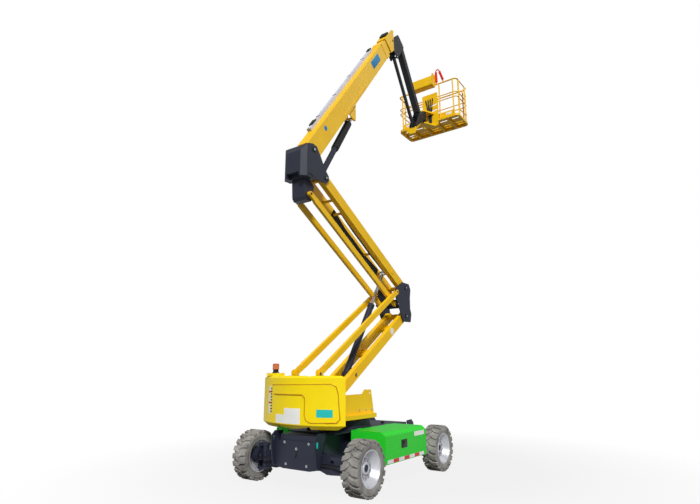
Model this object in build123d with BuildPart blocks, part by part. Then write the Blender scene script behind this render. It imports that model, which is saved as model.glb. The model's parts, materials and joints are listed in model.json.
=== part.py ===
from build123d import *
from math import atan2, cos, degrees, hypot, pi, radians, sin, sqrt
import os

# Articulating boom lift, parked with its arms half unfolded.
# Millimetres. +X is the way the boom reaches, +Y is the left side, +Z is up.
# The origin is on the ground under the middle of the machine's overall box. The shapes
# are drawn about the middle of the chassis, and save() moves them onto that origin.

os.makedirs("parts", exist_ok=True)

# ---------------------------------------------------------------- clearances
PIN_FIT = 0.05           # radial clearance of a pin in its bore
WORK_GAP = 6.0           # gap between pieces that move past each other
SEAT = 0.3               # gap under a piece that rests on another body

# ---------------------------------------------------------------- running gear
WHEELBASE = 2500.0
OVERALL_WIDTH = 2490.0
TYRE_D = 800.0
TYRE_W = 282.0
TYRE_SHOULDER = 26.0
LUG_COUNT = 20           # lugs on each half of the tread
LUG_H = 24.0
RIM_R = 262.0
RIM_WALL = 14.0
RIM_DISH = 96.0
HUB_R = 92.0
SPINDLE_R = 55.0
AXLE_Z = TYRE_D / 2
WHEEL_Y = (OVERALL_WIDTH - TYRE_W) / 2
KINGPIN_Y = 860.0
KINGPIN_R = 28.0
KINGPIN_BOSS_R = 58.0
KNUCKLE_ARM_GAP = 320.0
KNUCKLE_ARM_T = 45.0
KNUCKLE_HALF_X = 78.0
CARRIER_T = 32.0
MOTOR_R = 128.0
AXLE_HALF_X = 105.0
AXLE_END_HALF_X = 50.0   # beam tapers towards the kingpins
AXLE_TAPER_Y = (590.0, 735.0)
AXLE_TOP = 530.0
AXLE_LOW = 262.0
STEER_ARM = 150.0        # kingpin to track rod eye, along X
STEER_ARM_IN = 30.0
TRACK_ROD_R = 17.0
TRACK_EYE_R = 26.0
TRACK_FORK_T = 15.0
TRACK_FORK_GAP = 46.0
STEER_BARREL_R = 32.0

# ---------------------------------------------------------------- chassis
FRAME_HALF_Y = 350.0
FRAME_TOP = 800.0
FRAME_LOW = 400.0
FRAME_ARCH = 545.0       # underside above the axles
AXLE_X = WHEELBASE / 2
FRAME_REACH = AXLE_X + 200.0
ARCH_START = AXLE_X - 160.0  # slope from the arch down to the underside
ARCH_END = AXLE_X - 290.0
END_PLATE_T = 20.0
CHEEK_Y = 441.0
CHEEK_T = 22.0
CHEEK_REACH = AXLE_X + 325.0
DECK_T = 20.0
DECK_HALF_X = AXLE_X - 120.0
DECK_HALF_Y = 490.0
BOX_HALF_X = 700.0
BOX_IN_Y = 500.0
BOX_OUT_Y = 1150.0
BOX_LOW = 362.0
BOX_TOP = 838.0
BOX_SEAM = 446.0
BOX_CHAMFER_Y = 80.0
BOX_CHAMFER_Z = 62.0
SHEET = 6.0
LID_GAP = 1.0
HINGE_Y = 490.0          # lid hinge axis
HINGE_Z = 834.0
HINGE_R = 8.0
HINGE_PIN_R = 5.0
HINGE_X = 450.0
HINGE_LEAF = 40.0

# ---------------------------------------------------------------- turntable
SLEW_X = -200.0
RING_R = 460.0
RING_IN_R = 360.0
RACE_IN_R = 290.0
RING_TOP = 970.0
RING_LOW = 870.0
BASE_LOW = 983.0
BASE_TOP = 1050.0
BASE_HALF_Y = 460.0
BASE_FRONT = 220.0
BASE_REAR = -1290.0
SIDE_Y = 392.0
SIDE_T = 16.0
TOWER_Y = 260.0
TOWER_T = 20.0
TAIL_R = 1430.0
TAIL_HALF_Y = 850.0
TAIL_LOW = 905.0
TAIL_TOP = 1700.0
TAIL_WALL = 10.0
TAIL_SLOT_HALF_Y = 330.0
TAIL_SLOT_END = -1570.0
WEIGHT_TOP = 1490.0

# ---------------------------------------------------------------- riser
LOWER_PIVOT = (-870.0, 1250.0)
LOWER_LENGTH = 3100.0
LOWER_ANGLE = 33.0
LOWER_TIE_OFFSET = (-390.0, 480.0)
KNUCKLE_RISE = 620.0
UPPER_LENGTH = 3280.0
UPPER_ANGLE = 29.2
UPPER_TIE_OFFSET = (-340.0, -390.0)
BEAM_IN_Y = 125.0
BEAM_OUT_Y = 225.0
LOWER_BEAM_H = 176.0
UPPER_BEAM_H = 203.0
PIN_R = 34.0
PIN_BOSS_R = 66.0
LOWER_TIE_Y = 260.0
LOWER_TIE_W = 60.0
LOWER_TIE_H = 106.0
TIE_NECK = 250.0         # where a tie's full section starts, from its pin
TIE_SLOT = 205.0         # depth of its clevis slot, from its pin
UPPER_TIE_Y = 172.0
UPPER_TIE_W = 54.0
UPPER_TIE_H = 114.0
TIE_PIN_R = 22.0
PLATE_Y = 260.0
PLATE_T = 20.0
RISER_FOOT = 853.0       # riser cylinder's foot along the lower arm
RISER_HEAD = 571.0       # riser cylinder's rod eye along the upper arm
RISER_BARREL_R = 62.0
RISER_BARREL_L = 1650.0
RISER_ROD_R = 34.0
RISER_ROD_L = 1680.0
RISER_EYE_R = 52.0
CYL_PIN_R = 30.0
CYL_EYE_HALF_Y = 45.0
RISER_PIN_HALF_Y = 117.0  # the rod's own pin, between the upper arm's beams
LIFT_PIN_HALF_Y = 80.0    # the rod's own pin, between the boom's lugs
GLAND_L = 70.0
BARREL_FLOOR = 150.0

# ---------------------------------------------------------------- top knuckle
TOP_PLATE_Y = 246.0
TOP_PLATE_T = 18.0
BOOM_OFFSET = (-350.0, 420.0)
LIFT_OFFSET = (112.0, 92.0)
TOP_REAR_X = -620.0      # rear cover's face, from the upper arm's pin
COVER_LOW = -129.0
COVER_TOP = 484.0

# ---------------------------------------------------------------- boom
BOOM_ANGLE = 54.4
BOOM_W = 254.0
BOOM_TOP = 120.0
BOOM_LOW = -245.0
BOOM_WALL = 8.0
BOOM_START = 130.0
BOOM_END = 4790.0
BOOM_EYE_R = 118.0
STAGE_STEP = 22.0
PAD_GAP = 0.4
PAD_L = 110.0
MID_START = 420.0
MID_END = 4960.0
TIP_START = 560.0
HEAD_START = 4975.0      # flared head of the last stage
HEAD_OPEN = 5060.0       # its underside is open past here
HEAD_ROOF = 5400.0       # its roof ends here
HEAD_SIDE_T = 17.0
BOOM_PIN_R = 38.0
LIFT_LUG = (1945.0, -415.0)
LIFT_BARREL_R = 56.0
LIFT_BARREL_L = 950.0
LIFT_ROD_R = 36.0
LIFT_ROD_L = 1250.0
LIFT_EYE_R = 47.0
SLEEVE_R = 77.0
SLEEVE_WALL = 8.0
SLEEVE_STOP = 150.0      # from the rod's eye
LUG_PLATE_Y = 99.0
LUG_PLATE_T = 16.0

# ---------------------------------------------------------------- jib and platform
HEAD_PIVOT = (5330.0, -80.0)
JIB_LENGTH = 1767.0
JIB_ANGLE = -57.5
JIB_FROM_HEAD = (557.6, 187.2)
LINK_OFFSET = (-292.0, -486.0)
JIB_W = 150.0
JIB_H = 176.0
LINK_W = 64.0
LINK_R = 34.0
HEAD_PLATE_Y = 98.0
HEAD_PLATE_T = 16.0
JIB_PIN_R = 26.0
ROTATOR_X = 350.0        # platform's turning axis, from the jib's end pin
ROTATOR_R = 74.0
PLATFORM_REAR = 624.0    # platform's rear rail, from the jib's end pin
PLATFORM_W = 1830.0
PLATFORM_D = 760.0
PLATFORM_H = 1140.0
PLATFORM_FLOOR = 0.0     # underside of the floor, from the jib's end pin
FLOOR_FRAME_H = 60.0
FLOOR_FRAME_W = 50.0
RAIL_R = 20.0
POST_R = 19.0            # posts, under the top rail
MID_RAIL_R = 14.0
CORNER_R = 110.0
GATE_POST = 140.0        # gate posts, from the ends of the right side
DECK_SHEET = 4.0
TOE_H = 155.0
TOE_T = 4.0
CLAMP_T = 40.0
PANEL_T = 24.0
PANEL_Y = -100.0
PANEL_W = 460.0
PANEL_LOW = -150.0
PANEL_HIGH = 870.0
GUARD_R = 15.0
GUARD_H = 440.0          # guard tube, above the top rail
GUARD_FOOT_Y = -314.0
GUARD_PEAK_Y = -304.0
GUARD_CREST_Y = -390.0
GUARD_FAR_Y = -520.0
HOOD_LIP = 62.0          # bevel along the bottom edge
HOOD_BROW = 34.0         # bevel along the roof's edge
DOOR_RAISE = 5.0
DOOR_OUTLINE = (
    # y, z round the raised door on the rear arc
    (430.0, 1415.0), (430.0, 1558.0), (-712.0, 1575.0), (-752.0, 1500.0),
    (-788.0, 1016.0), (-325.0, 1004.0), (-262.0, 1060.0), (-262.0, 1415.0),
)
BEACON_X = -1400.0
BEACON_Y = 560.0
BEACON_LIFT = 42.0
ROTATOR_LOW = -110.0
ROTATOR_HIGH = 210.0
CONSOLE_LEFT = 380.0
CONSOLE_RIGHT = -270.0


def step(start, length, angle):
    """Point at a distance and angle from a start, in the X-Z plane."""
    return (start[0] + length * cos(radians(angle)), start[1] + length * sin(radians(angle)))


def shift(start, offset):
    """Point moved by an offset, in the X-Z plane."""
    return (start[0] + offset[0], start[1] + offset[1])


LOWER_TOP = step(LOWER_PIVOT, LOWER_LENGTH, LOWER_ANGLE)
UPPER_PIVOT = shift(LOWER_TOP, (0.0, KNUCKLE_RISE))
UPPER_TOP = step(UPPER_PIVOT, UPPER_LENGTH, 180.0 - UPPER_ANGLE)
LOWER_TIE_FOOT = shift(LOWER_PIVOT, LOWER_TIE_OFFSET)
LOWER_TIE_TOP = shift(LOWER_TOP, LOWER_TIE_OFFSET)
UPPER_TIE_FOOT = shift(UPPER_PIVOT, UPPER_TIE_OFFSET)
UPPER_TIE_TOP = shift(UPPER_TOP, UPPER_TIE_OFFSET)
BOOM_PIVOT = shift(UPPER_TOP, BOOM_OFFSET)
LIFT_FOOT = shift(UPPER_TOP, LIFT_OFFSET)
RISER_LOW = step(LOWER_PIVOT, RISER_FOOT, LOWER_ANGLE)
RISER_TOP = step(UPPER_PIVOT, RISER_HEAD, 180.0 - UPPER_ANGLE)


def on_boom(point):
    """World X-Z place of a point given along and across the boom."""
    along = step(BOOM_PIVOT, point[0], BOOM_ANGLE)
    return step(along, point[1], BOOM_ANGLE + 90.0)


LIFT_TOP = on_boom(LIFT_LUG)
HEAD_PIN = on_boom(HEAD_PIVOT)
JIB_PIN = shift(HEAD_PIN, JIB_FROM_HEAD)
JIB_END = step(JIB_PIN, JIB_LENGTH, JIB_ANGLE)
LINK_PIN = shift(JIB_PIN, LINK_OFFSET)
LINK_END = shift(JIB_END, LINK_OFFSET)


def side(at=(0.0, 0.0), angle=0.0, y=0.0):
    """Upright plane facing -Y: local x runs at an angle from +X towards +Z."""
    turn = radians(angle)
    return Plane(origin=(at[0], y, at[1]), x_dir=(cos(turn), 0, sin(turn)), z_dir=(0, -1, 0))


def across(at, angle, reach=0.0):
    """Plane square to a member: local x is +Y and local y is the member's upper side."""
    turn = radians(angle)
    start = step(at, reach, angle)
    return Plane(origin=(start[0], 0, start[1]), x_dir=(0, 1, 0), z_dir=(cos(turn), 0, sin(turn)))


def plate(plane, points, thickness, corner=0.0, mode=Mode.ADD):
    """Plate of a polygon outline, centred on the plane."""
    with BuildSketch(plane) as outline:
        with BuildLine():
            Polyline(*points, close=True)
        make_face()
        if corner > 0.0:
            fillet(outline.vertices(), corner)
    extrude(outline.sketch, amount=thickness / 2, both=True, mode=mode)


def wrap(plane, discs, thickness, mode=Mode.ADD):
    """Plate whose outline wraps round discs, each given as (x, y, radius)."""
    with BuildSketch(plane) as outline:
        for x, y, radius in discs:
            with Locations((x, y)):
                Circle(radius)
        make_hull(outline.edges())
    extrude(outline.sketch, amount=thickness / 2, both=True, mode=mode)


def round_bar(plane, centre, radius, length, mode=Mode.ADD):
    """Round bar square to the plane and centred on it."""
    with BuildSketch(plane) as outline:
        with Locations(centre):
            Circle(radius)
    extrude(outline.sketch, amount=length / 2, both=True, mode=mode)


def box_bar(plane, width, height, length, centre=(0.0, 0.0), wall=0.0, mode=Mode.ADD):
    """Rectangular bar or tube that runs from the plane along its normal."""
    with BuildSketch(plane) as outline:
        with Locations(centre):
            Rectangle(width, height)
            if wall > 0.0:
                Rectangle(width - 2 * wall, height - 2 * wall, mode=Mode.SUBTRACT)
    extrude(outline.sketch, amount=length, mode=mode)


def post(plane, radius, length, mode=Mode.ADD):
    """Round bar that runs from the plane along its normal."""
    with BuildSketch(plane) as outline:
        Circle(radius)
    extrude(outline.sketch, amount=length, mode=mode)


def tube_run(start, end, radius):
    """Round rail from one point to another."""
    line = Vector(*end) - Vector(*start)
    with BuildSketch(Plane(origin=start, z_dir=tuple(line))) as outline:
        Circle(radius)
    extrude(outline.sketch, amount=line.length)


REARMOST = UPPER_TOP[0] + TOP_REAR_X
FOREMOST = JIB_END[0] + PLATFORM_REAR + PLATFORM_D
OVERALL_MIDDLE = (REARMOST + FOREMOST) / 2


def save(name, builder):
    """Move a finished piece onto the origin, label it and write its STEP file."""
    placed = builder.part.moved(Location((-OVERALL_MIDDLE, 0, 0)))
    placed.label = name
    export_step(placed, f"parts/{name}.step")


# =============================================================== wheels
WHEELS = (
    # name, axle x, side (+1 left, -1 right)
    ("steer_left", -WHEELBASE / 2, 1),
    ("steer_right", -WHEELBASE / 2, -1),
    ("drive_left", WHEELBASE / 2, 1),
    ("drive_right", WHEELBASE / 2, -1),
)


def wheel_plane(x, hand):
    """Plane through the wheel's axis: local x points outward, local y is the radius."""
    return Plane(origin=(x, hand * WHEEL_Y, AXLE_Z), x_dir=(0, hand, 0), z_dir=(hand, 0, 0))


def wheel_axis(x, hand):
    """Turning axis of a wheel."""
    return Axis((x, hand * WHEEL_Y, AXLE_Z), (0, 1, 0))


half = TYRE_W / 2
bead = half - 14.0
sidewall = half - 4.0
casing = TYRE_D / 2 - LUG_H
lug_pitch = pi * TYRE_D / LUG_COUNT
lug_foot = 14.0
lug_blanks = []
for lug_side in (1, -1):
    # a slanted lug runs from the shoulder past the middle of the tread
    with BuildPart() as lug:
        with BuildSketch(Plane.XY.offset(casing - lug_foot)):
            with BuildLine():
                Polyline(
                    (lug_side * half, -0.40 * lug_pitch),
                    (lug_side * half, 0.18 * lug_pitch),
                    (lug_side * 0.42 * half, 0.24 * lug_pitch),
                    (-lug_side * 8.0, 0.52 * lug_pitch),
                    (-lug_side * 8.0, 0.14 * lug_pitch),
                    (lug_side * 0.42 * half, -0.28 * lug_pitch),
                    close=True,
                )
            make_face()
        extrude(amount=LUG_H + lug_foot)
        shoulder = lug.faces().sort_by(Axis.X)[-1 if lug_side > 0 else 0]
        chamfer(shoulder.edges().sort_by(Axis.Z)[-1], 14.0)
    lug_blanks.append(lug.part)

with BuildPart() as tyre_blank:
    with BuildSketch(Plane.XZ) as tyre_section:
        with BuildLine():
            Polyline(
                (bead, RIM_R),
                (sidewall, RIM_R + 46.0),
                (sidewall, casing - TYRE_SHOULDER),
                (half - TYRE_SHOULDER, casing),
                (TYRE_SHOULDER - half, casing),
                (-sidewall, casing - TYRE_SHOULDER),
                (-sidewall, RIM_R + 46.0),
                (-bead, RIM_R),
                close=True,
            )
        make_face()
    revolve(axis=Axis.X)
    # the lugs of one side stand between those of the other
    for blank, first in ((lug_blanks[0], 0.0), (lug_blanks[1], 180.0 / LUG_COUNT)):
        for index in range(LUG_COUNT):
            add(Rot(first + index * 360.0 / LUG_COUNT, 0, 0) * blank)
    with BuildSketch(Plane.YZ):
        Circle(TYRE_D / 2)
    extrude(amount=half, both=True, mode=Mode.INTERSECT)

for wheel_name, wheel_x, hand in WHEELS:
    with BuildPart() as tyre:
        add(Location((wheel_x, hand * WHEEL_Y, AXLE_Z), (0, 0, hand * 90.0)) * tyre_blank.part)
    save(f"tyre_{wheel_name}", tyre)

    with BuildPart() as rim:
        with BuildSketch(wheel_plane(wheel_x, hand)) as rim_section:
            with BuildLine():
                Polyline(
                    (-bead, RIM_R),
                    (-bead, RIM_R - RIM_WALL),
                    (-RIM_WALL, RIM_R - RIM_WALL - 12.0),
                    (-RIM_WALL, SPINDLE_R + PIN_FIT),
                    (RIM_DISH / 2, SPINDLE_R + PIN_FIT),
                    (RIM_DISH / 2, HUB_R - 14.0),
                    (RIM_DISH / 2 - 14.0, HUB_R),
                    (RIM_WALL, HUB_R),
                    (RIM_WALL, RIM_R - 84.0),
                    (bead - 8.0, RIM_R - RIM_WALL - 4.0),
                    (bead, RIM_R - RIM_WALL),
                    (bead, RIM_R),
                    close=True,
                )
            make_face()
        revolve(axis=wheel_axis(wheel_x, hand))
        with BuildSketch(Plane(origin=(wheel_x, hand * (WHEEL_Y + RIM_WALL), AXLE_Z), z_dir=(0, hand, 0))):
            with PolarLocations(HUB_R + 32.0, 10):
                RegularPolygon(13.0, 6)
        extrude(amount=18.0)
    save(f"rim_{wheel_name}", rim)

# =============================================================== steering knuckles
for knuckle_name, hand in (("left", 1), ("right", -1)):
    x0 = -WHEELBASE / 2
    arm_z = KNUCKLE_ARM_GAP / 2
    carrier_in = hand * (WHEEL_Y - TYRE_W / 2 - CARRIER_T - 6.0)
    top_view = Plane(origin=(x0, 0, AXLE_Z), x_dir=(1, 0, 0), z_dir=(0, 0, 1))
    with BuildPart() as knuckle:
        # upright carrier plate, bowed like the web of a C
        with BuildSketch(Plane(origin=(x0, carrier_in, AXLE_Z), x_dir=(hand, 0, 0), z_dir=(0, hand, 0))):
            Rectangle(2 * KNUCKLE_HALF_X, KNUCKLE_ARM_GAP + 2 * KNUCKLE_ARM_T)
            Circle(MOTOR_R + 16.0)
        extrude(amount=CARRIER_T)
        # upper and lower arms that hold the kingpins
        for level in (arm_z, -arm_z - KNUCKLE_ARM_T):
            with BuildSketch(top_view.offset(level)) as arm:
                with Locations((0, hand * KINGPIN_Y)):
                    Circle(KNUCKLE_HALF_X - 10.0)
                with Locations((0, carrier_in + hand * CARRIER_T / 2)):
                    Rectangle(2 * KNUCKLE_HALF_X, CARRIER_T)
                make_hull(arm.edges())
            extrude(amount=KNUCKLE_ARM_T)
        for level, reach in ((arm_z, -70.0), (-arm_z, 70.0)):
            with BuildSketch(top_view.offset(level)):
                with Locations((0, hand * KINGPIN_Y)):
                    Circle(KINGPIN_R)
            extrude(amount=reach)
        # hub motor and spindle inside the rim
        with BuildSketch(Plane(origin=(x0, carrier_in, AXLE_Z), z_dir=(0, hand, 0))):
            Circle(MOTOR_R)
        extrude(amount=CARRIER_T + 106.0)
        with BuildSketch(Plane(origin=(x0, carrier_in, AXLE_Z), z_dir=(0, hand, 0))):
            Circle(SPINDLE_R)
        extrude(amount=abs(hand * (WHEEL_Y + RIM_DISH / 2 - 8.0) - carrier_in))
        # forked steering arm for the track rod
        for level in (TRACK_FORK_GAP / 2, -TRACK_FORK_GAP / 2 - TRACK_FORK_T):
            with BuildSketch(top_view.offset(level)) as fork:
                with Locations((-STEER_ARM, hand * (KINGPIN_Y - STEER_ARM_IN))):
                    Circle(TRACK_EYE_R + 4.0)
                with Locations((-KNUCKLE_HALF_X - 4.0, hand * (KINGPIN_Y + 30.0))):
                    Circle(TRACK_EYE_R)
                with Locations((-KNUCKLE_HALF_X / 2, carrier_in + hand * CARRIER_T / 2)):
                    Rectangle(KNUCKLE_HALF_X, CARRIER_T)
                make_hull(fork.edges())
            extrude(amount=TRACK_FORK_T)
            with BuildSketch(top_view.offset(level)):
                with Locations((0, hand * KINGPIN_Y)):
                    Circle(KINGPIN_BOSS_R + WORK_GAP)
            extrude(amount=TRACK_FORK_T, mode=Mode.SUBTRACT)
    save(f"knuckle_{knuckle_name}", knuckle)

# =============================================================== axles
def axle_beam(x0, end_y, end_half_x):
    """Beam of an axle, its underside rising to the middle."""
    half_low = 450.0
    outline = [
        (-end_y, AXLE_TOP - 30.0),
        (-half_low, AXLE_TOP),
        (half_low, AXLE_TOP),
        (end_y, AXLE_TOP - 30.0),
        (end_y, AXLE_LOW + 12.0),
        (end_y - 60.0, AXLE_LOW),
        (half_low + 60.0, AXLE_LOW),
        (half_low - 60.0, AXLE_LOW + 40.0),
        (-half_low + 60.0, AXLE_LOW + 40.0),
        (-half_low - 60.0, AXLE_LOW),
        (-end_y + 60.0, AXLE_LOW),
        (-end_y, AXLE_LOW + 12.0),
    ]
    face = Plane(origin=(x0, 0, 0), x_dir=(0, 1, 0), z_dir=(1, 0, 0))
    plate(face, outline, 2 * AXLE_HALF_X)
    wide_y, narrow_y = AXLE_TAPER_Y
    plan = [
        (x0 + sx * half_x, sy * y)
        for sx, sy, rows in (
            (1, 1, ((AXLE_HALF_X, wide_y), (end_half_x, narrow_y), (end_half_x, end_y))),
            (-1, 1, ((end_half_x, end_y), (end_half_x, narrow_y), (AXLE_HALF_X, wide_y))),
            (-1, -1, ((AXLE_HALF_X, wide_y), (end_half_x, narrow_y), (end_half_x, end_y))),
            (1, -1, ((end_half_x, end_y), (end_half_x, narrow_y), (AXLE_HALF_X, wide_y))),
        )
        for half_x, y in rows
    ]
    plate(Plane.XY.offset(AXLE_Z), plan, TYRE_D, 0.0, Mode.INTERSECT)
    for y in (-600.0, 600.0):
        round_bar(face, (y, AXLE_Z + 40.0), 30.0, 2 * AXLE_HALF_X + 2.0, Mode.SUBTRACT)


with BuildPart() as steer_axle:
    x0 = -WHEELBASE / 2
    axle_beam(x0, KINGPIN_Y - KINGPIN_BOSS_R + 10.0, AXLE_END_HALF_X)
    boss_low = AXLE_Z - KNUCKLE_ARM_GAP / 2 + WORK_GAP
    boss_height = KNUCKLE_ARM_GAP - 2 * WORK_GAP
    with BuildSketch(Plane.XY.offset(boss_low)):
        with Locations((x0, KINGPIN_Y), (x0, -KINGPIN_Y)):
            Circle(KINGPIN_BOSS_R)
    extrude(amount=boss_height)
    with BuildSketch(Plane.XY.offset(boss_low)):
        with Locations((x0, KINGPIN_Y), (x0, -KINGPIN_Y)):
            Circle(KINGPIN_R + PIN_FIT)
    extrude(amount=boss_height, mode=Mode.SUBTRACT)
    # pivot saddle under the frame
    with BuildSketch(Plane.XY.offset(AXLE_TOP)):
        with Locations((x0, 0)):
            Rectangle(2 * AXLE_HALF_X - 30.0, 240.0)
    extrude(amount=FRAME_ARCH - AXLE_TOP)
save("steer_axle", steer_axle)

with BuildPart() as drive_axle:
    x0 = WHEELBASE / 2
    hub_in = WHEEL_Y - TYRE_W / 2 - CARRIER_T - 6.0
    axle_beam(x0, hub_in, AXLE_HALF_X - 15.0)
    for hand in (1, -1):
        with BuildSketch(Plane(origin=(x0, hand * hub_in, AXLE_Z), z_dir=(0, hand, 0))):
            Circle(MOTOR_R + 16.0)
        extrude(amount=CARRIER_T)
        with BuildSketch(Plane(origin=(x0, hand * hub_in, AXLE_Z), z_dir=(0, hand, 0))):
            Circle(MOTOR_R)
        extrude(amount=CARRIER_T + 106.0)
        with BuildSketch(Plane(origin=(x0, hand * hub_in, AXLE_Z), z_dir=(0, hand, 0))):
            Circle(SPINDLE_R)
        extrude(amount=WHEEL_Y + RIM_DISH / 2 - 8.0 - hub_in)
    with BuildSketch(Plane.XY.offset(AXLE_TOP)):
        with Locations((x0, 0)):
            Rectangle(2 * AXLE_HALF_X - 30.0, 240.0)
    extrude(amount=FRAME_ARCH - AXLE_TOP)
save("drive_axle", drive_axle)

# =============================================================== steering cylinder and track rod
steer_x = -WHEELBASE / 2 - STEER_ARM
across_y = Plane(origin=(steer_x, 0, AXLE_Z), x_dir=(1, 0, 0), z_dir=(0, 1, 0))
with BuildPart() as steer_cylinder:
    with BuildSketch(across_y):
        Circle(STEER_BARREL_R)
        Circle(TRACK_ROD_R + PIN_FIT, mode=Mode.SUBTRACT)
    extrude(amount=330.0, both=True)
    # feet that bolt the barrel to the axle's front face
    foot_depth = STEER_ARM - AXLE_HALF_X
    for start in (-240.0, 180.0):
        with BuildSketch(across_y.offset(start)) as foot:
            with Locations((foot_depth / 2, 0)):
                Rectangle(foot_depth, 52.0)
            Circle(TRACK_ROD_R + 6.0, mode=Mode.SUBTRACT)
        extrude(amount=60.0)
save("steer_cylinder", steer_cylinder)

with BuildPart() as track_rod:
    eye_y = KINGPIN_Y - STEER_ARM_IN
    with BuildSketch(across_y):
        Circle(TRACK_ROD_R)
    extrude(amount=eye_y, both=True)
    for hand in (1, -1):
        with BuildSketch(Plane(origin=(steer_x, hand * eye_y, AXLE_Z), z_dir=(0, 0, 1))):
            Circle(TRACK_EYE_R)
        extrude(amount=TRACK_ROD_R - 1.0, both=True)
save("track_rod", track_rod)

# =============================================================== chassis frame
with BuildPart() as chassis_frame:
    with BuildSketch(Plane.XZ) as frame_side:
        with BuildLine():
            Polyline(
                (-FRAME_REACH, FRAME_ARCH),
                (-ARCH_START, FRAME_ARCH),
                (-ARCH_END, FRAME_LOW),
                (ARCH_END, FRAME_LOW),
                (ARCH_START, FRAME_ARCH),
                (FRAME_REACH, FRAME_ARCH),
                (FRAME_REACH, FRAME_TOP),
                (-FRAME_REACH, FRAME_TOP),
                close=True,
            )
        make_face()
    extrude(amount=FRAME_HALF_Y, both=True)
    # outriggers that carry the battery boxes
    for x in (-520.0, 0.0, 520.0):
        with BuildSketch(Plane.XY.offset(FRAME_LOW)):
            with Locations((x, 0)):
                Rectangle(120.0, 2 * BOX_IN_Y)
        extrude(amount=220.0)
    # deck round the slew ring
    with BuildSketch(Plane.XY.offset(FRAME_TOP)):
        Rectangle(2 * DECK_HALF_X, 2 * DECK_HALF_Y)
    extrude(amount=DECK_T)
    with BuildSketch(Plane.XY.offset(FRAME_TOP + DECK_T)):
        with Locations((SLEW_X, 0)):
            Circle(RING_R + 12.0)
    extrude(amount=RING_LOW - FRAME_TOP - DECK_T)
save("chassis_frame", chassis_frame)

# =============================================================== slew ring
with BuildPart() as slew_ring:
    with BuildSketch(Plane.XY.offset(RING_LOW)):
        with Locations((SLEW_X, 0)):
            Circle(RING_R)
            Circle(RING_IN_R, mode=Mode.SUBTRACT)
    extrude(amount=RING_TOP - RING_LOW)
save("slew_ring", slew_ring)

# =============================================================== end plates with towing cheeks
for end_name, hand in (("steer", -1), ("drive", 1)):
    with BuildPart() as end_plate:
        face = Plane(origin=(hand * (FRAME_REACH + END_PLATE_T / 2), 0, 0), x_dir=(0, 1, 0), z_dir=(1, 0, 0))
        plate(
            face,
            [
                (-CHEEK_Y, 760.0), (-CHEEK_Y + 60.0, 712.0), (CHEEK_Y - 60.0, 712.0), (CHEEK_Y, 760.0),
                (CHEEK_Y, 330.0), (270.0, 296.0), (-270.0, 296.0), (-CHEEK_Y, 330.0),
            ],
            END_PLATE_T,
        )
        round_bar(face, (0.0, 572.0), 20.0, END_PLATE_T + 2.0, Mode.SUBTRACT)
        slot = [(-9.0, 572.0), (9.0, 572.0), (9.0, 500.0), (-9.0, 500.0)]
        plate(face, slot, END_PLATE_T + 2.0, 0.0, Mode.SUBTRACT)
        for y in (-CHEEK_Y, CHEEK_Y):
            cheek = Plane(origin=(0, y, 0), x_dir=(hand, 0, 0), z_dir=(0, -hand, 0))
            plate(
                cheek,
                [
                    (AXLE_X + AXLE_HALF_X + 30.0, 640.0),
                    (AXLE_X + 50.0, 840.0),
                    (AXLE_X + 240.0, 850.0),
                    (AXLE_X + 310.0, 790.0),
                    (CHEEK_REACH, 640.0),
                    (AXLE_X + 280.0, 380.0),
                    (AXLE_X + 240.0, 330.0),
                    (AXLE_X + 190.0, 330.0),
                    (AXLE_X + 150.0, 560.0),
                ],
                CHEEK_T,
            )
            plate(
                cheek,
                [
                    (AXLE_X + 250.0, 700.0),
                    (AXLE_X + 280.0, 700.0),
                    (AXLE_X + 280.0, 770.0),
                    (AXLE_X + 250.0, 770.0),
                ],
                CHEEK_T + 2.0,
                12.0,
                Mode.SUBTRACT,
            )
    save(f"end_plate_{end_name}", end_plate)

# =============================================================== battery boxes
def box_profile(hand, inset):
    """Top, chamfer and outer face of a battery box, in the Y-Z plane."""
    return [
        (hand * BOX_IN_Y, BOX_TOP - inset),
        (hand * (BOX_OUT_Y - BOX_CHAMFER_Y - 0.4 * inset), BOX_TOP - inset),
        (hand * (BOX_OUT_Y - inset), BOX_TOP - BOX_CHAMFER_Z - 0.4 * inset),
    ]


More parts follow.
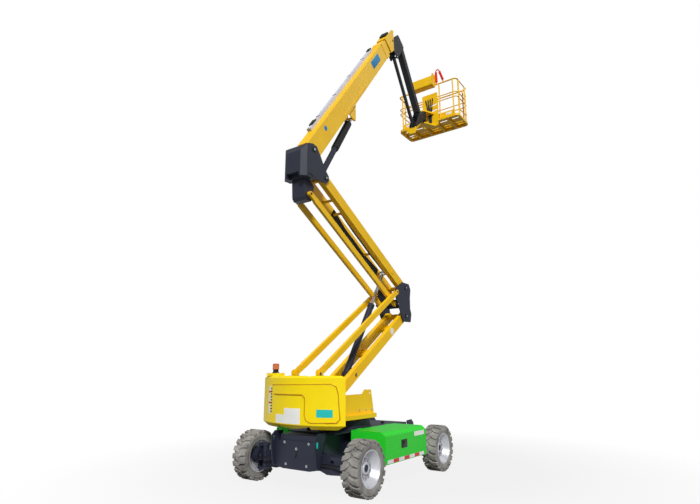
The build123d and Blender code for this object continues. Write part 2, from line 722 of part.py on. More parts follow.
for box_name, hand in (("left", 1), ("right", -1)):
    cross = Plane(origin=(0, 0, 0), x_dir=(0, 1, 0), z_dir=(1, 0, 0))
    wall = SHEET + LID_GAP
    with BuildPart() as tray:
        # end walls follow the lid from inside
        for x in (-BOX_HALF_X + SHEET / 2, BOX_HALF_X - SHEET / 2):
            plate(
                cross.offset(x),
                box_profile(hand, wall) + [
                    (hand * (BOX_OUT_Y - wall), BOX_SEAM),
                    (hand * BOX_OUT_Y, BOX_SEAM - LID_GAP),
                    (hand * BOX_OUT_Y, BOX_LOW),
                    (hand * BOX_IN_Y, BOX_LOW),
                ],
                SHEET,
            )
        inner = 2 * BOX_HALF_X
        box_bar(cross.offset(-BOX_HALF_X), BOX_OUT_Y - BOX_IN_Y, SHEET, inner,
                (hand * (BOX_OUT_Y + BOX_IN_Y) / 2, BOX_LOW + SHEET / 2))
        box_bar(cross.offset(-BOX_HALF_X), SHEET, BOX_SEAM - LID_GAP - BOX_LOW, inner,
                (hand * (BOX_OUT_Y - SHEET / 2), (BOX_SEAM - LID_GAP + BOX_LOW) / 2))
        box_bar(cross.offset(-BOX_HALF_X), SHEET, BOX_TOP - wall - BOX_LOW, inner,
                (hand * (BOX_IN_Y + SHEET / 2), (BOX_TOP - wall + BOX_LOW) / 2))
        # each hinge has a leaf of the tray on both sides of the lid's, and its pin
        for x in (-HINGE_X, HINGE_X):
            for leaf_x in (x - HINGE_LEAF, x + HINGE_LEAF):
                wrap(
                    cross.offset(leaf_x),
                    [(hand * HINGE_Y, HINGE_Z, HINGE_R), (hand * (BOX_IN_Y + 2.0), BOX_TOP - 16.0, 2.0)],
                    HINGE_LEAF - 2.0,
                )
            round_bar(cross.offset(x), (hand * HINGE_Y, HINGE_Z), HINGE_PIN_R, 3 * HINGE_LEAF)
    save(f"battery_tray_{box_name}", tray)

    with BuildPart() as battery:
        box_bar(cross.offset(-BOX_HALF_X + 60.0), 480.0, 330.0, 2 * BOX_HALF_X - 120.0,
                (hand * (BOX_IN_Y + 300.0), BOX_LOW + SHEET + 165.0))
    save(f"battery_pack_{box_name}", battery)

    with BuildPart() as lid:
        sheet_outline = box_profile(hand, 0.0) + [(hand * BOX_OUT_Y, BOX_SEAM)]
        sheet_inside = box_profile(hand, SHEET) + [(hand * (BOX_OUT_Y - SHEET), BOX_SEAM)]
        plate(cross, sheet_outline + sheet_inside[::-1], 2 * BOX_HALF_X)
        for x in (-HINGE_X, HINGE_X):
            leaf_end = hand * (BOX_IN_Y + 24.0)
            leaf_low = BOX_TOP - SHEET + 1.0
            plate(
                cross.offset(x),
                [(hand * HINGE_Y, leaf_low), (leaf_end, leaf_low), (leaf_end, BOX_TOP), (hand * HINGE_Y, BOX_TOP)],
                HINGE_LEAF - 2.0,
            )
            round_bar(cross.offset(x), (hand * HINGE_Y, HINGE_Z), HINGE_R, HINGE_LEAF - 2.0)
            bore = HINGE_PIN_R + PIN_FIT
            round_bar(cross.offset(x), (hand * HINGE_Y, HINGE_Z), bore, HINGE_LEAF, Mode.SUBTRACT)
    save(f"battery_lid_{box_name}", lid)

# =============================================================== turntable
with BuildPart() as turntable_frame:
    with BuildSketch(Plane.XY.offset(BASE_LOW)) as base_outline:
        with Locations(((BASE_FRONT + BASE_REAR) / 2, 0)):
            Rectangle(BASE_FRONT - BASE_REAR, 2 * BASE_HALF_Y)
        chamfer(base_outline.vertices(), 60.0)
    extrude(amount=BASE_TOP - BASE_LOW)
    with BuildSketch(Plane.XY.offset(RING_LOW + SEAT)):
        with Locations((SLEW_X, 0)):
            Circle(RING_IN_R - 1.0)
            Circle(RACE_IN_R, mode=Mode.SUBTRACT)
    extrude(amount=BASE_LOW - RING_LOW)
save("turntable_frame", turntable_frame)

# the two side weldments stand on the base, each a side plate and a tower plate joined by webs
stand_z = BASE_TOP + SEAT
with BuildPart() as turntable_sides:
    for y in (-SIDE_Y, SIDE_Y):
        plate(
            side(y=y),
            [
                (BASE_REAR, stand_z), (BASE_REAR, 1380.0), (-215.0, 1388.0), (-136.0, 1461.0),
                (73.0, 1456.0), (164.0, stand_z),
            ],
            SIDE_T,
        )
        round_bar(side(y=y), (35.0, 1400.0), 22.0, SIDE_T + 2.0, Mode.SUBTRACT)
    for y in (-TOWER_Y, TOWER_Y):
        plate(
            side(y=y),
            [
                (BASE_REAR + 4.0, stand_z), (BASE_REAR + 4.0, 1600.0), (-1335.0, 1690.0), (-1335.0, 1770.0),
                (-1300.0, 1800.0), (-1215.0, 1800.0), (-1040.0, 1520.0), (-760.0, 1350.0), (-690.0, stand_z),
            ],
            TOWER_T,
        )
        round_bar(side(y=y), LOWER_TIE_FOOT, TIE_PIN_R, LOWER_TIE_W + 6.0)
        round_bar(side(y=y), LOWER_PIVOT, PIN_R + PIN_FIT, TOWER_T + 2.0, Mode.SUBTRACT)
        # cross webs tie each tower plate to its side plate
        web_y = (TOWER_Y + SIDE_Y) / 2 * (1 if y > 0 else -1)
        for web_x, web_top in ((-1150.0, 1360.0), (-760.0, 1320.0)):
            with BuildSketch(Plane.XY.offset(stand_z)):
                with Locations((web_x, web_y)):
                    Rectangle(14.0, SIDE_Y - TOWER_Y)
            extrude(amount=web_top - stand_z)
save("turntable_sides", turntable_sides)

# the riser's foot pin lies in both tower plates
with BuildPart() as riser_pin:
    round_bar(side(), LOWER_PIVOT, PIN_R, 2 * TOWER_Y + TOWER_T + 24.0)
save("riser_pin", riser_pin)


def tail_outline(inset, front_in):
    """Plan of the tail: a rear arc about the slew axis and two faces that slant in."""
    radius = TAIL_R - inset
    half = TAIL_HALF_Y - inset
    corner_x = SLEW_X - sqrt(radius ** 2 - half ** 2)
    front_x = corner_x + 190.0
    with BuildLine() as plan:
        ThreePointArc((corner_x, -half), (SLEW_X - radius, 0), (corner_x, half))
        Polyline((corner_x, half), (front_x, front_in), (front_x, -front_in), (corner_x, -half))
    return plan



# the door stands proud of the rear arc
with BuildPart() as hood_door:
    with BuildSketch(Plane(origin=(SLEW_X, 0, 0), x_dir=(0, 1, 0), z_dir=(-1, 0, 0))) as door_outline:
        with BuildLine():
            Polyline(*[(y, -z) for y, z in DOOR_OUTLINE], close=True)
        make_face()
        fillet(door_outline.vertices(), 30.0)
    extrude(amount=TAIL_R + 100.0)
    with BuildSketch(Plane.XY.offset(TAIL_LOW)):
        with Locations((SLEW_X, 0)):
            Circle(TAIL_R + DOOR_RAISE)
            Circle(TAIL_R - TAIL_WALL / 2, mode=Mode.SUBTRACT)
    extrude(amount=TAIL_TOP - TAIL_LOW, mode=Mode.INTERSECT)

with BuildPart() as tail_hood:
    with BuildSketch(Plane.XY.offset(TAIL_LOW)) as hood_plan:
        outer_plan = tail_outline(0.0, 420.0)
        add(make_face(outer_plan.edges(), mode=Mode.PRIVATE))
    extrude(amount=TAIL_TOP - TAIL_LOW)
    chamfer(tail_hood.edges().group_by(Axis.Z)[0], HOOD_LIP)
    chamfer(tail_hood.edges().group_by(Axis.Z)[-1], HOOD_BROW)
    with BuildSketch(Plane.XY.offset(TAIL_LOW)) as hollow_plan:
        inner_plan = tail_outline(HOOD_LIP + TAIL_WALL, 420.0)
        add(make_face(inner_plan.edges(), mode=Mode.PRIVATE))
    extrude(amount=TAIL_TOP - TAIL_LOW - TAIL_WALL, mode=Mode.SUBTRACT)
    with BuildSketch(Plane.XY.offset(TAIL_LOW + HOOD_LIP)) as room_plan:
        room_outline = tail_outline(TAIL_WALL, 420.0)
        add(make_face(room_outline.edges(), mode=Mode.PRIVATE))
    extrude(amount=TAIL_TOP - HOOD_BROW - TAIL_WALL - TAIL_LOW - HOOD_LIP, mode=Mode.SUBTRACT)
    add(hood_door.part)
    # the arms fold down through a slot in the roof and front
    slot_length = 900.0
    with BuildSketch(Plane.XY.offset(TAIL_LOW)):
        with Locations((TAIL_SLOT_END + slot_length / 2, 0)):
            Rectangle(slot_length, 2 * TAIL_SLOT_HALF_Y)
    extrude(amount=TAIL_TOP - TAIL_LOW, mode=Mode.SUBTRACT)
    with BuildSketch(Plane.XY.offset(TAIL_LOW)):
        with Locations((BASE_REAR + 200.0, 0)):
            Rectangle(404.0, 2 * (BASE_HALF_Y + WORK_GAP))
    extrude(amount=1400.0 - TAIL_LOW, mode=Mode.SUBTRACT)
save("tail_hood", tail_hood)

with BuildPart() as counterweight:
    with BuildSketch(Plane.XY.offset(TAIL_LOW + HOOD_LIP)) as weight_plan:
        inner_plan = tail_outline(TAIL_WALL + SEAT, 420.0)
        add(make_face(inner_plan.edges(), mode=Mode.PRIVATE))
        with Locations((BASE_REAR + 500.0, 0)):
            Rectangle(1000.0, 2 * TAIL_HALF_Y + 100.0, mode=Mode.SUBTRACT)
    extrude(amount=WEIGHT_TOP - TAIL_LOW - HOOD_LIP)
save("counterweight", counterweight)

with BuildPart() as beacon_mount:
    with BuildSketch(Plane.XY.offset(TAIL_TOP)):
        with Locations((BEACON_X, BEACON_Y)):
            RectangleRounded(170.0, 280.0, 24.0)
    extrude(amount=BEACON_LIFT)
save("beacon_mount", beacon_mount)

with BuildPart() as beacon_base:
    with BuildSketch(Plane.XY.offset(TAIL_TOP + BEACON_LIFT)):
        with Locations((BEACON_X, BEACON_Y)):
            Circle(58.0)
    extrude(amount=16.0)
    with BuildSketch(Plane.XY.offset(TAIL_TOP + BEACON_LIFT + 16.0)):
        with Locations((BEACON_X, BEACON_Y)):
            Circle(46.0)
    extrude(amount=44.0)
save("beacon_base", beacon_base)

with BuildPart() as beacon_lens:
    with BuildSketch(Plane.XY.offset(TAIL_TOP + BEACON_LIFT + 60.0)):
        with Locations((BEACON_X, BEACON_Y)):
            Circle(54.0)
    extrude(amount=96.0)
    chamfer(beacon_lens.faces().sort_by(Axis.Z)[-1].edges(), 12.0)
save("beacon_lens", beacon_lens)

with BuildPart() as control_box:
    with BuildSketch(Plane(origin=(-480.0, SIDE_Y + SIDE_T / 2, 1240.0), z_dir=(0, 1, 0))):
        RectangleRounded(360.0, 300.0, 20.0)
    extrude(amount=140.0)
save("ground_control_box", control_box)

# =============================================================== riser arms
def beam_pair(at, angle, length, height, eye_r):
    """Two box beams side by side, with eyes on the pins at both ends."""
    middle = (BEAM_IN_Y + BEAM_OUT_Y) / 2
    width = BEAM_OUT_Y - BEAM_IN_Y
    for y in (-middle, middle):
        plane = side(at, angle, y)
        plate(plane, [(0.0, -height / 2), (length, -height / 2), (length, height / 2), (0.0, height / 2)], width)
        for u in (0.0, length):
            round_bar(plane, (u, 0.0), eye_r, width)
            round_bar(side(at, angle, y + (9.0 if y > 0 else -9.0)), (u, 0.0), PIN_BOSS_R, width)


with BuildPart() as lower_arm:
    beam_pair(LOWER_PIVOT, LOWER_ANGLE, LOWER_LENGTH, LOWER_BEAM_H, 94.0)
    centre_line = side(LOWER_PIVOT, LOWER_ANGLE)
    for u in (0.0, LOWER_LENGTH):
        round_bar(centre_line, (u, 0.0), PIN_BOSS_R - 8.0, 2 * BEAM_IN_Y)
    # cross plates between the beams, under the cylinder's path
    for start, end, low, high in (
        (180.0, 420.0, -80.0, -20.0),
        (1560.0, 1760.0, -80.0, -16.0),
        (2560.0, 2760.0, -80.0, -20.0),
    ):
        plate(centre_line, [(start, low), (end, low), (end, high), (start, high)], 2 * BEAM_IN_Y)
    round_bar(centre_line, (RISER_FOOT, 0.0), CYL_PIN_R, 2 * BEAM_OUT_Y + 16.0)
    for u in (0.0, LOWER_LENGTH):
        round_bar(centre_line, (u, 0.0), PIN_R + PIN_FIT, 600.0, Mode.SUBTRACT)
save("lower_arm", lower_arm)

with BuildPart() as upper_arm:
    beam_pair(UPPER_PIVOT, 180.0 - UPPER_ANGLE, UPPER_LENGTH, UPPER_BEAM_H, 104.0)
    centre_line = side(UPPER_PIVOT, 180.0 - UPPER_ANGLE)
    for u in (0.0, UPPER_LENGTH):
        round_bar(centre_line, (u, 0.0), PIN_BOSS_R - 22.0, 2 * BEAM_IN_Y)
    for u, n in ((1250.0, 45.0), (2450.0, 45.0), (2800.0, 45.0)):
        round_bar(centre_line, (u, n), 26.0, 2 * BEAM_IN_Y)
    # pin plates on the outer faces, where the cylinder's pin is held
    for y in (-BEAM_OUT_Y - 4.0, BEAM_OUT_Y + 4.0):
        round_bar(side(UPPER_PIVOT, 180.0 - UPPER_ANGLE, y), (RISER_HEAD, 0.0), CYL_PIN_R + 12.0, 12.0)
    for u in (0.0, UPPER_LENGTH):
        round_bar(centre_line, (u, 0.0), PIN_R + PIN_FIT, 600.0, Mode.SUBTRACT)
save("upper_arm", upper_arm)

# =============================================================== tie rods
def tie_tube(at, angle, length, y, width, height, neck):
    """Box tube with a narrower plate end on each pin."""
    plane = side(at, angle, y)
    plate(
        plane,
        [
            (neck, -height / 2), (length - neck, -height / 2), (length - neck, height / 2), (neck, height / 2),
        ],
        width,
    )
    for u, inner in ((0.0, neck + 40.0), (length, length - neck - 40.0)):
        wrap(plane, [(u, 0.0, 46.0), (inner, 0.0, 46.0)], width)
    for u in (0.0, length):
        round_bar(plane, (u, 0.0), TIE_PIN_R + PIN_FIT, width + 2.0, Mode.SUBTRACT)


with BuildPart() as lower_ties:
    for y in (-LOWER_TIE_Y, LOWER_TIE_Y):
        tie_tube(LOWER_TIE_FOOT, LOWER_ANGLE, LOWER_LENGTH, y, LOWER_TIE_W, LOWER_TIE_H, TIE_NECK)
        # clevis slots over the tower plate and the knuckle plate
        for u0, u1 in ((-80.0, TIE_SLOT), (LOWER_LENGTH - TIE_SLOT, LOWER_LENGTH + 80.0)):
            plate(
                side(LOWER_TIE_FOOT, LOWER_ANGLE, y),
                [(u0, -80.0), (u1, -80.0), (u1, 80.0), (u0, 80.0)],
                TOWER_T + 2 * WORK_GAP,
                0.0,
                Mode.SUBTRACT,
            )
save("lower_ties", lower_ties)

with BuildPart() as upper_ties:
    for y in (-UPPER_TIE_Y, UPPER_TIE_Y):
        tie_tube(UPPER_TIE_FOOT, 180.0 - UPPER_ANGLE, UPPER_LENGTH, y, UPPER_TIE_W, UPPER_TIE_H, 150.0)
save("upper_ties", upper_ties)

# =============================================================== middle knuckle
with BuildPart() as mid_knuckle:
    hub_x, hub_z = LOWER_TOP
    for y in (-PLATE_Y, PLATE_Y):
        plate(
            side((hub_x, hub_z), 0.0, y),
            [
                (-150.0, 724.0), (150.0, 724.0), (224.0, 610.0), (188.0, 420.0), (188.0, 180.0), (236.0, 70.0),
                (190.0, -116.0), (-124.0, -126.0), (-476.0, 440.0), (-420.0, 560.0),
            ],
            PLATE_T,
            34.0,
        )
        round_bar(side(LOWER_TIE_TOP, 0.0, y), (0, 0), TIE_PIN_R, LOWER_TIE_W + 6.0)
    round_bar(side(LOWER_TOP), (0, 0), PIN_R, 2 * PLATE_Y + PLATE_T + 20.0)
    round_bar(side(UPPER_PIVOT), (0, 0), PIN_R, 2 * PLATE_Y + PLATE_T + 20.0)
    round_bar(side(UPPER_TIE_FOOT), (0, 0), TIE_PIN_R, 2 * PLATE_Y)
    plate(side(LOWER_TOP), [(150.0, 210.0), (170.0, 210.0), (170.0, 410.0), (150.0, 410.0)], 2 * PLATE_Y)
save("mid_knuckle", mid_knuckle)

# =============================================================== top knuckle
with BuildPart() as top_knuckle:
    hub = UPPER_TOP
    for y in (-TOP_PLATE_Y, TOP_PLATE_Y):
        plate(
            side(hub, 0.0, y),
            [
                (-530.0, 480.0), (-400.0, 524.0), (-280.0, 512.0), (-190.0, 400.0), (-30.0, 160.0), (80.0, 60.0),
                (86.0, -20.0), (10.0, -100.0), (-110.0, -114.0), (-470.0, -60.0), (-530.0, -60.0),
            ],
            TOP_PLATE_T,
            16.0,
        )
    # rear cover between the plates, its corners cut back and its top sloped
    outer = TOP_PLATE_Y + TOP_PLATE_T / 2
    with BuildSketch(Plane.XY.offset(hub[1] + COVER_LOW)) as cover_plan:
        with BuildLine():
            Polyline(
                (hub[0] - 500.0, outer), (hub[0] - 540.0, outer), (hub[0] + TOP_REAR_X, 170.0),
                (hub[0] + TOP_REAR_X, -170.0), (hub[0] - 540.0, -outer), (hub[0] - 500.0, -outer),
                close=True,
            )
        make_face()
    extrude(amount=COVER_TOP - COVER_LOW)
    past_rear = TOP_REAR_X - 1.0
    past_top = COVER_TOP + 50.0
    slope = [(past_rear, 340.0), (-525.0, COVER_TOP), (-525.0, past_top), (past_rear, past_top)]
    plate(side(hub), slope, 2 * outer + 2.0, 0.0, Mode.SUBTRACT)
    past_low = COVER_LOW - 1.0
    notch = [(past_rear, past_low), (-530.0, past_low), (-530.0, -50.0), (past_rear, -50.0)]
    plate(side(hub), notch, 280.0, 0.0, Mode.SUBTRACT)
    # leg that the upper ties hang on
    plate(
        side(hub),
        [
            (-480.0, -60.0), (-455.0, -455.0), (-410.0, -505.0), (-280.0, -505.0), (-235.0, -455.0),
            (-200.0, -200.0), (-380.0, -60.0),
        ],
        2 * 138.0,
    )
    plate(side(hub), [(-520.0, -128.0), (-520.0, -40.0), (-440.0, -40.0), (-400.0, -128.0)], 2 * TOP_PLATE_Y)
    round_bar(side(UPPER_TIE_TOP), (0, 0), TIE_PIN_R, 2 * (UPPER_TIE_Y + UPPER_TIE_W / 2) + 12.0)
    round_bar(side(UPPER_TOP), (0, 0), PIN_R, 2 * TOP_PLATE_Y + TOP_PLATE_T + 16.0)
    round_bar(side(BOOM_PIVOT), (0, 0), BOOM_PIN_R, 2 * TOP_PLATE_Y + TOP_PLATE_T + 16.0)
    # web below the boom's root, and the two lugs that hold the lift cylinder's foot
    filling = [(-520.0, -60.0), (-520.0, 150.0), (-180.0, 150.0), (-140.0, -20.0), (-160.0, -60.0)]
    plate(side(hub), filling, 2 * TOP_PLATE_Y)
    for y in (-CYL_EYE_HALF_Y - 26.0, CYL_EYE_HALF_Y + 26.0):
        wrap(side(hub, 0.0, y), [(LIFT_OFFSET[0], LIFT_OFFSET[1], 46.0), (-300.0, 108.0, 42.0)], 18.0)
    round_bar(side(LIFT_FOOT), (0, 0), CYL_PIN_R, 2 * CYL_EYE_HALF_Y + 80.0)
save("top_knuckle", top_knuckle)

# =============================================================== riser cylinder
def between(a, b):
    """Angle and length from one point to another, in the X-Z plane."""
    return degrees(atan2(b[1] - a[1], b[0] - a[0])), hypot(b[0] - a[0], b[1] - a[1])


def cylinder_barrel(at, angle, length, radius, bore):
    """Barrel with an eye on its foot pin and a gland at its mouth."""
    round_bar(side(at), (0, 0), radius, 2 * CYL_EYE_HALF_Y)
    post(across(at, angle), radius, length)
    post(across(at, angle, length - GLAND_L), radius + 7.0, GLAND_L)
    post(across(at, angle, BARREL_FLOOR), bore, length, Mode.SUBTRACT)
    round_bar(side(at), (0, 0), CYL_PIN_R + PIN_FIT, 4 * CYL_EYE_HALF_Y, Mode.SUBTRACT)


def cylinder_rod(at, angle, reach, length, radius, eye_r, pin_half):
    """Rod that runs from inside the barrel to its eye, with the eye's pin."""
    post(across(at, angle, reach - length), radius, length)
    tip = step(at, reach, angle)
    round_bar(side(tip), (0, 0), eye_r, 2 * CYL_EYE_HALF_Y)
    round_bar(side(tip), (0, 0), CYL_PIN_R, 2 * pin_half)


riser_angle, riser_reach = between(RISER_LOW, RISER_TOP)
with BuildPart() as riser_barrel:
    cylinder_barrel(RISER_LOW, riser_angle, RISER_BARREL_L, RISER_BARREL_R, RISER_ROD_R + PIN_FIT)
save("riser_cylinder_barrel", riser_barrel)
with BuildPart() as riser_rod:
    cylinder_rod(RISER_LOW, riser_angle, riser_reach, RISER_ROD_L, RISER_ROD_R, RISER_EYE_R, RISER_PIN_HALF_Y)
save("riser_cylinder_rod", riser_rod)

# =============================================================== lift cylinder
lift_angle, lift_reach = between(LIFT_FOOT, LIFT_TOP)
with BuildPart() as lift_barrel:
    cylinder_barrel(LIFT_FOOT, lift_angle, LIFT_BARREL_L, LIFT_BARREL_R, LIFT_ROD_R + PIN_FIT)
save("lift_cylinder_barrel", lift_barrel)
with BuildPart() as lift_rod:
    cylinder_rod(LIFT_FOOT, lift_angle, lift_reach, LIFT_ROD_L, LIFT_ROD_R, LIFT_EYE_R, LIFT_PIN_HALF_Y)
save("lift_cylinder_rod", lift_rod)
with BuildPart() as lift_sleeve:
    sleeve_from = LIFT_BARREL_L - 12.0
    sleeve_to = lift_reach - SLEEVE_STOP
    with BuildSketch(across(LIFT_FOOT, lift_angle, sleeve_from)):
        Circle(SLEEVE_R)
        Circle(SLEEVE_R - SLEEVE_WALL, mode=Mode.SUBTRACT)
    extrude(amount=sleeve_to - sleeve_from)
    with BuildSketch(across(LIFT_FOOT, lift_angle, sleeve_to - 20.0)):
        Circle(SLEEVE_R)
        Circle(LIFT_ROD_R, mode=Mode.SUBTRACT)
    extrude(amount=20.0)
save("lift_cylinder_sleeve", lift_sleeve)

# =============================================================== boom
boom_side = side(BOOM_PIVOT, BOOM_ANGLE)


def stage(start, end, inset):
    """Box section of the boom between two distances from the pivot."""
    height = BOOM_TOP - BOOM_LOW - 2 * inset
    centre = (0.0, (BOOM_TOP + BOOM_LOW) / 2)
    box_bar(across(BOOM_PIVOT, BOOM_ANGLE, start), BOOM_W - 2 * inset, height, end - start, centre, BOOM_WALL)


def wear_pads(start, outer, inner):
    """Four slide pads that fill the space between two insets of the boom's section."""
    middle = (BOOM_TOP + BOOM_LOW) / 2
    half_h = (BOOM_TOP - BOOM_LOW) / 2
    thick = inner - outer
    reach = (outer + inner) / 2
    pad_plane = across(BOOM_PIVOT, BOOM_ANGLE, start)
    for sign in (1, -1):
        box_bar(pad_plane, 90.0, thick, PAD_L, (0.0, middle + sign * (half_h - reach)))
        box_bar(pad_plane, thick, 120.0, PAD_L, (sign * (BOOM_W / 2 - reach), middle))


with BuildPart() as boom_base:
    stage(BOOM_START, BOOM_END, 0.0)
    box_bar(across(BOOM_PIVOT, BOOM_ANGLE, BOOM_START), BOOM_W, BOOM_TOP - BOOM_LOW, 16.0,
            (0.0, (BOOM_TOP + BOOM_LOW) / 2))
    # root cheeks round the pivot
    for y in (-BOOM_W / 2 + 15.0, BOOM_W / 2 - 15.0):
        plate(
            side(BOOM_PIVOT, BOOM_ANGLE, y),
            [(0.0, -BOOM_EYE_R), (BOOM_START + 10.0, BOOM_LOW), (BOOM_START + 10.0, BOOM_TOP), (0.0, BOOM_EYE_R)],
            30.0,
        )
        round_bar(side(BOOM_PIVOT, BOOM_ANGLE, y), (0, 0), BOOM_EYE_R, 30.0)
    round_bar(boom_side, (0, 0), BOOM_PIN_R + 22.0, 2 * (TOP_PLATE_Y - TOP_PLATE_T / 2 - WORK_GAP))
    round_bar(boom_side, (0, 0), BOOM_PIN_R + PIN_FIT, 700.0, Mode.SUBTRACT)
    # collar at the mouth
    with BuildSketch(across(BOOM_PIVOT, BOOM_ANGLE, BOOM_END - 180.0)) as collar:
        with Locations((0.0, (BOOM_TOP + BOOM_LOW) / 2)):
            Rectangle(BOOM_W + 14.0, BOOM_TOP - BOOM_LOW + 14.0)
            Rectangle(BOOM_W, BOOM_TOP - BOOM_LOW, mode=Mode.SUBTRACT)
    extrude(amount=180.0)
    # lugs on both sides of the lift cylinder's rod eye, with pin plates outside
    for y in (-LUG_PLATE_Y, LUG_PLATE_Y):
        lug_side = side(BOOM_PIVOT, BOOM_ANGLE, y)
        wrap(lug_side, [(*LIFT_LUG, 58.0), (1870.0, BOOM_LOW - 1.0, 8.0), (2270.0, BOOM_LOW - 1.0, 8.0)], LUG_PLATE_T)
        round_bar(side(BOOM_PIVOT, BOOM_ANGLE, 1.1 * y), LIFT_LUG, CYL_PIN_R + 10.0, LUG_PLATE_T)
    # raised rib along each side of the box
    for y in (-BOOM_W / 2, BOOM_W / 2):
        rib = [(1600.0, -205.0), (3000.0, -205.0), (3000.0, -170.0), (1600.0, -170.0)]
        plate(side(BOOM_PIVOT, BOOM_ANGLE, y), rib, 8.0, 17.0)
    wear_pads(BOOM_END - 130.0, BOOM_WALL, STAGE_STEP - PAD_GAP)
save("boom_base", boom_base)

with BuildPart() as boom_mid:
    stage(MID_START, MID_END, STAGE_STEP)
    wear_pads(MID_START + 20.0, BOOM_WALL + PAD_GAP, STAGE_STEP)
    wear_pads(MID_END - 130.0, STAGE_STEP + BOOM_WALL, 2 * STAGE_STEP - PAD_GAP)
save("boom_mid", boom_mid)

with BuildPart() as boom_tip:
    stage(TIP_START, HEAD_START + 30.0, 2 * STAGE_STEP)
    wear_pads(TIP_START + 20.0, STAGE_STEP + BOOM_WALL + PAD_GAP, 2 * STAGE_STEP)
    # head as large as the outer stage, cut upright at its end
    head_y = BOOM_W / 2 - HEAD_SIDE_T / 2
    for y in (-head_y, head_y):
        plate(
            side(BOOM_PIVOT, BOOM_ANGLE, y),
            [
                (HEAD_START, BOOM_TOP), (5520.0, BOOM_TOP + 14.0), (5606.0, 69.0), (5165.0, -266.0),
                (HEAD_START, BOOM_LOW),
            ],
            HEAD_SIDE_T,
        )
    middle = (BOOM_TOP + BOOM_LOW) / 2
    height = BOOM_TOP - BOOM_LOW
    head_back = across(BOOM_PIVOT, BOOM_ANGLE, HEAD_START)
    box_bar(head_back, BOOM_W, height, 20.0, (0.0, middle))
    box_bar(head_back, BOOM_W, 14.0, HEAD_ROOF - HEAD_START, (0.0, BOOM_TOP - 7.0))
    box_bar(head_back, BOOM_W, 14.0, HEAD_OPEN - HEAD_START, (0.0, BOOM_LOW + 7.0))
    round_bar(boom_side, HEAD_PIVOT, JIB_PIN_R + PIN_FIT, 400.0, Mode.SUBTRACT)
save("boom_tip", boom_tip)

with BuildPart() as hose_tray:
    # channel for the hose carrier along the boom's top, on its left half
    tray_w = 96.0
    tray_h = 60.0
    box_bar(across(BOOM_PIVOT, BOOM_ANGLE, 620.0), tray_w, tray_h, 3750.0,
            (BOOM_W / 2 - tray_w / 2, BOOM_TOP + tray_h / 2))
    fillet(hose_tray.edges().filter_by(Axis(origin=(0, 0, 0), direction=(cos(radians(BOOM_ANGLE)), 0,
                                                                        sin(radians(BOOM_ANGLE)))))
           .sort_by(Axis.Z)[-1:], 14.0)
save("hose_tray", hose_tray)

# =============================================================== jib head
with BuildPart() as jib_head:
    plate_y = HEAD_PLATE_Y - HEAD_PLATE_T / 2
    crown = shift(HEAD_PIN, (350.0, 330.0))
    for y in (-plate_y, plate_y):
        wrap(
            side(y=y),
            [(*HEAD_PIN, 58.0), (*crown, 62.0), (*JIB_PIN, 66.0), (*LINK_PIN, 44.0)],
            HEAD_PLATE_T,
        )
        round_bar(side(y=y), shift(crown, (18.0, -70.0)), 24.0, HEAD_PLATE_T + 2.0, Mode.SUBTRACT)
    round_bar(side(), crown, JIB_PIN_R, 2 * HEAD_PLATE_Y)
    round_bar(side(), HEAD_PIN, JIB_PIN_R, BOOM_W + 14.0)
    round_bar(side(), JIB_PIN, JIB_PIN_R, 2 * HEAD_PLATE_Y)
    round_bar(side(), LINK_PIN, TIE_PIN_R, 2 * HEAD_PLATE_Y)
save("jib_head", jib_head)

# =============================================================== jib
with BuildPart() as jib:
    with BuildSketch(across(JIB_PIN, JIB_ANGLE, 60.0)):
        RectangleRounded(JIB_W, JIB_H, 16.0)
    extrude(amount=JIB_LENGTH - 120.0)
    for u in (0.0, JIB_LENGTH):
        round_bar(side(JIB_PIN, JIB_ANGLE), (u, 0.0), JIB_H / 2 - 8.0, JIB_W)
    for u in (0.0, JIB_LENGTH):
        round_bar(side(JIB_PIN, JIB_ANGLE), (u, 0.0), JIB_PIN_R + PIN_FIT, 400.0, Mode.SUBTRACT)
save("jib", jib)

with BuildPart() as jib_link:
    link_side = side(LINK_PIN, JIB_ANGLE)
    wrap(link_side, [(0.0, 0.0, LINK_R), (JIB_LENGTH, 0.0, LINK_R)], LINK_W)
    for u in (0.0, JIB_LENGTH):
        round_bar(link_side, (u, 0.0), LINK_R + 8.0, LINK_W)
    for u in (0.0, JIB_LENGTH):
        round_bar(link_side, (u, 0.0), TIE_PIN_R + PIN_FIT, LINK_W + 2.0, Mode.SUBTRACT)
save("jib_link", jib_link)

# =============================================================== platform rotator
with BuildPart() as rotator:
    axis_x = JIB_END[0] + ROTATOR_X
    for y in (-plate_y, plate_y):
        wrap(
            side(y=y),
            [(*JIB_END, 52.0), (*LINK_END, 38.0), (axis_x - 60.0, JIB_END[1] + 50.0, 60.0)],
            HEAD_PLATE_T,
        )
    round_bar(side(), JIB_END, JIB_PIN_R, 2 * HEAD_PLATE_Y)
    round_bar(side(), LINK_END, TIE_PIN_R, 2 * HEAD_PLATE_Y)
    with BuildSketch(Plane.XY.offset(JIB_END[1] + ROTATOR_LOW)):
        with Locations((axis_x, 0)):
            Circle(ROTATOR_R)
    extrude(amount=ROTATOR_HIGH - ROTATOR_LOW)
    with BuildSketch(Plane.XY.offset(JIB_END[1] - 20.0)):
        with Locations((axis_x - 90.0, 0)):
            Rectangle(80.0, 2 * plate_y)
    extrude(amount=130.0)
save("rotator", rotator)

# =============================================================== platform
floor_z = JIB_END[1] + PLATFORM_FLOOR
rear_x = JIB_END[0] + PLATFORM_REAR
front_x = rear_x + PLATFORM_D
half_w = PLATFORM_W / 2
top_z = floor_z + PLATFORM_H

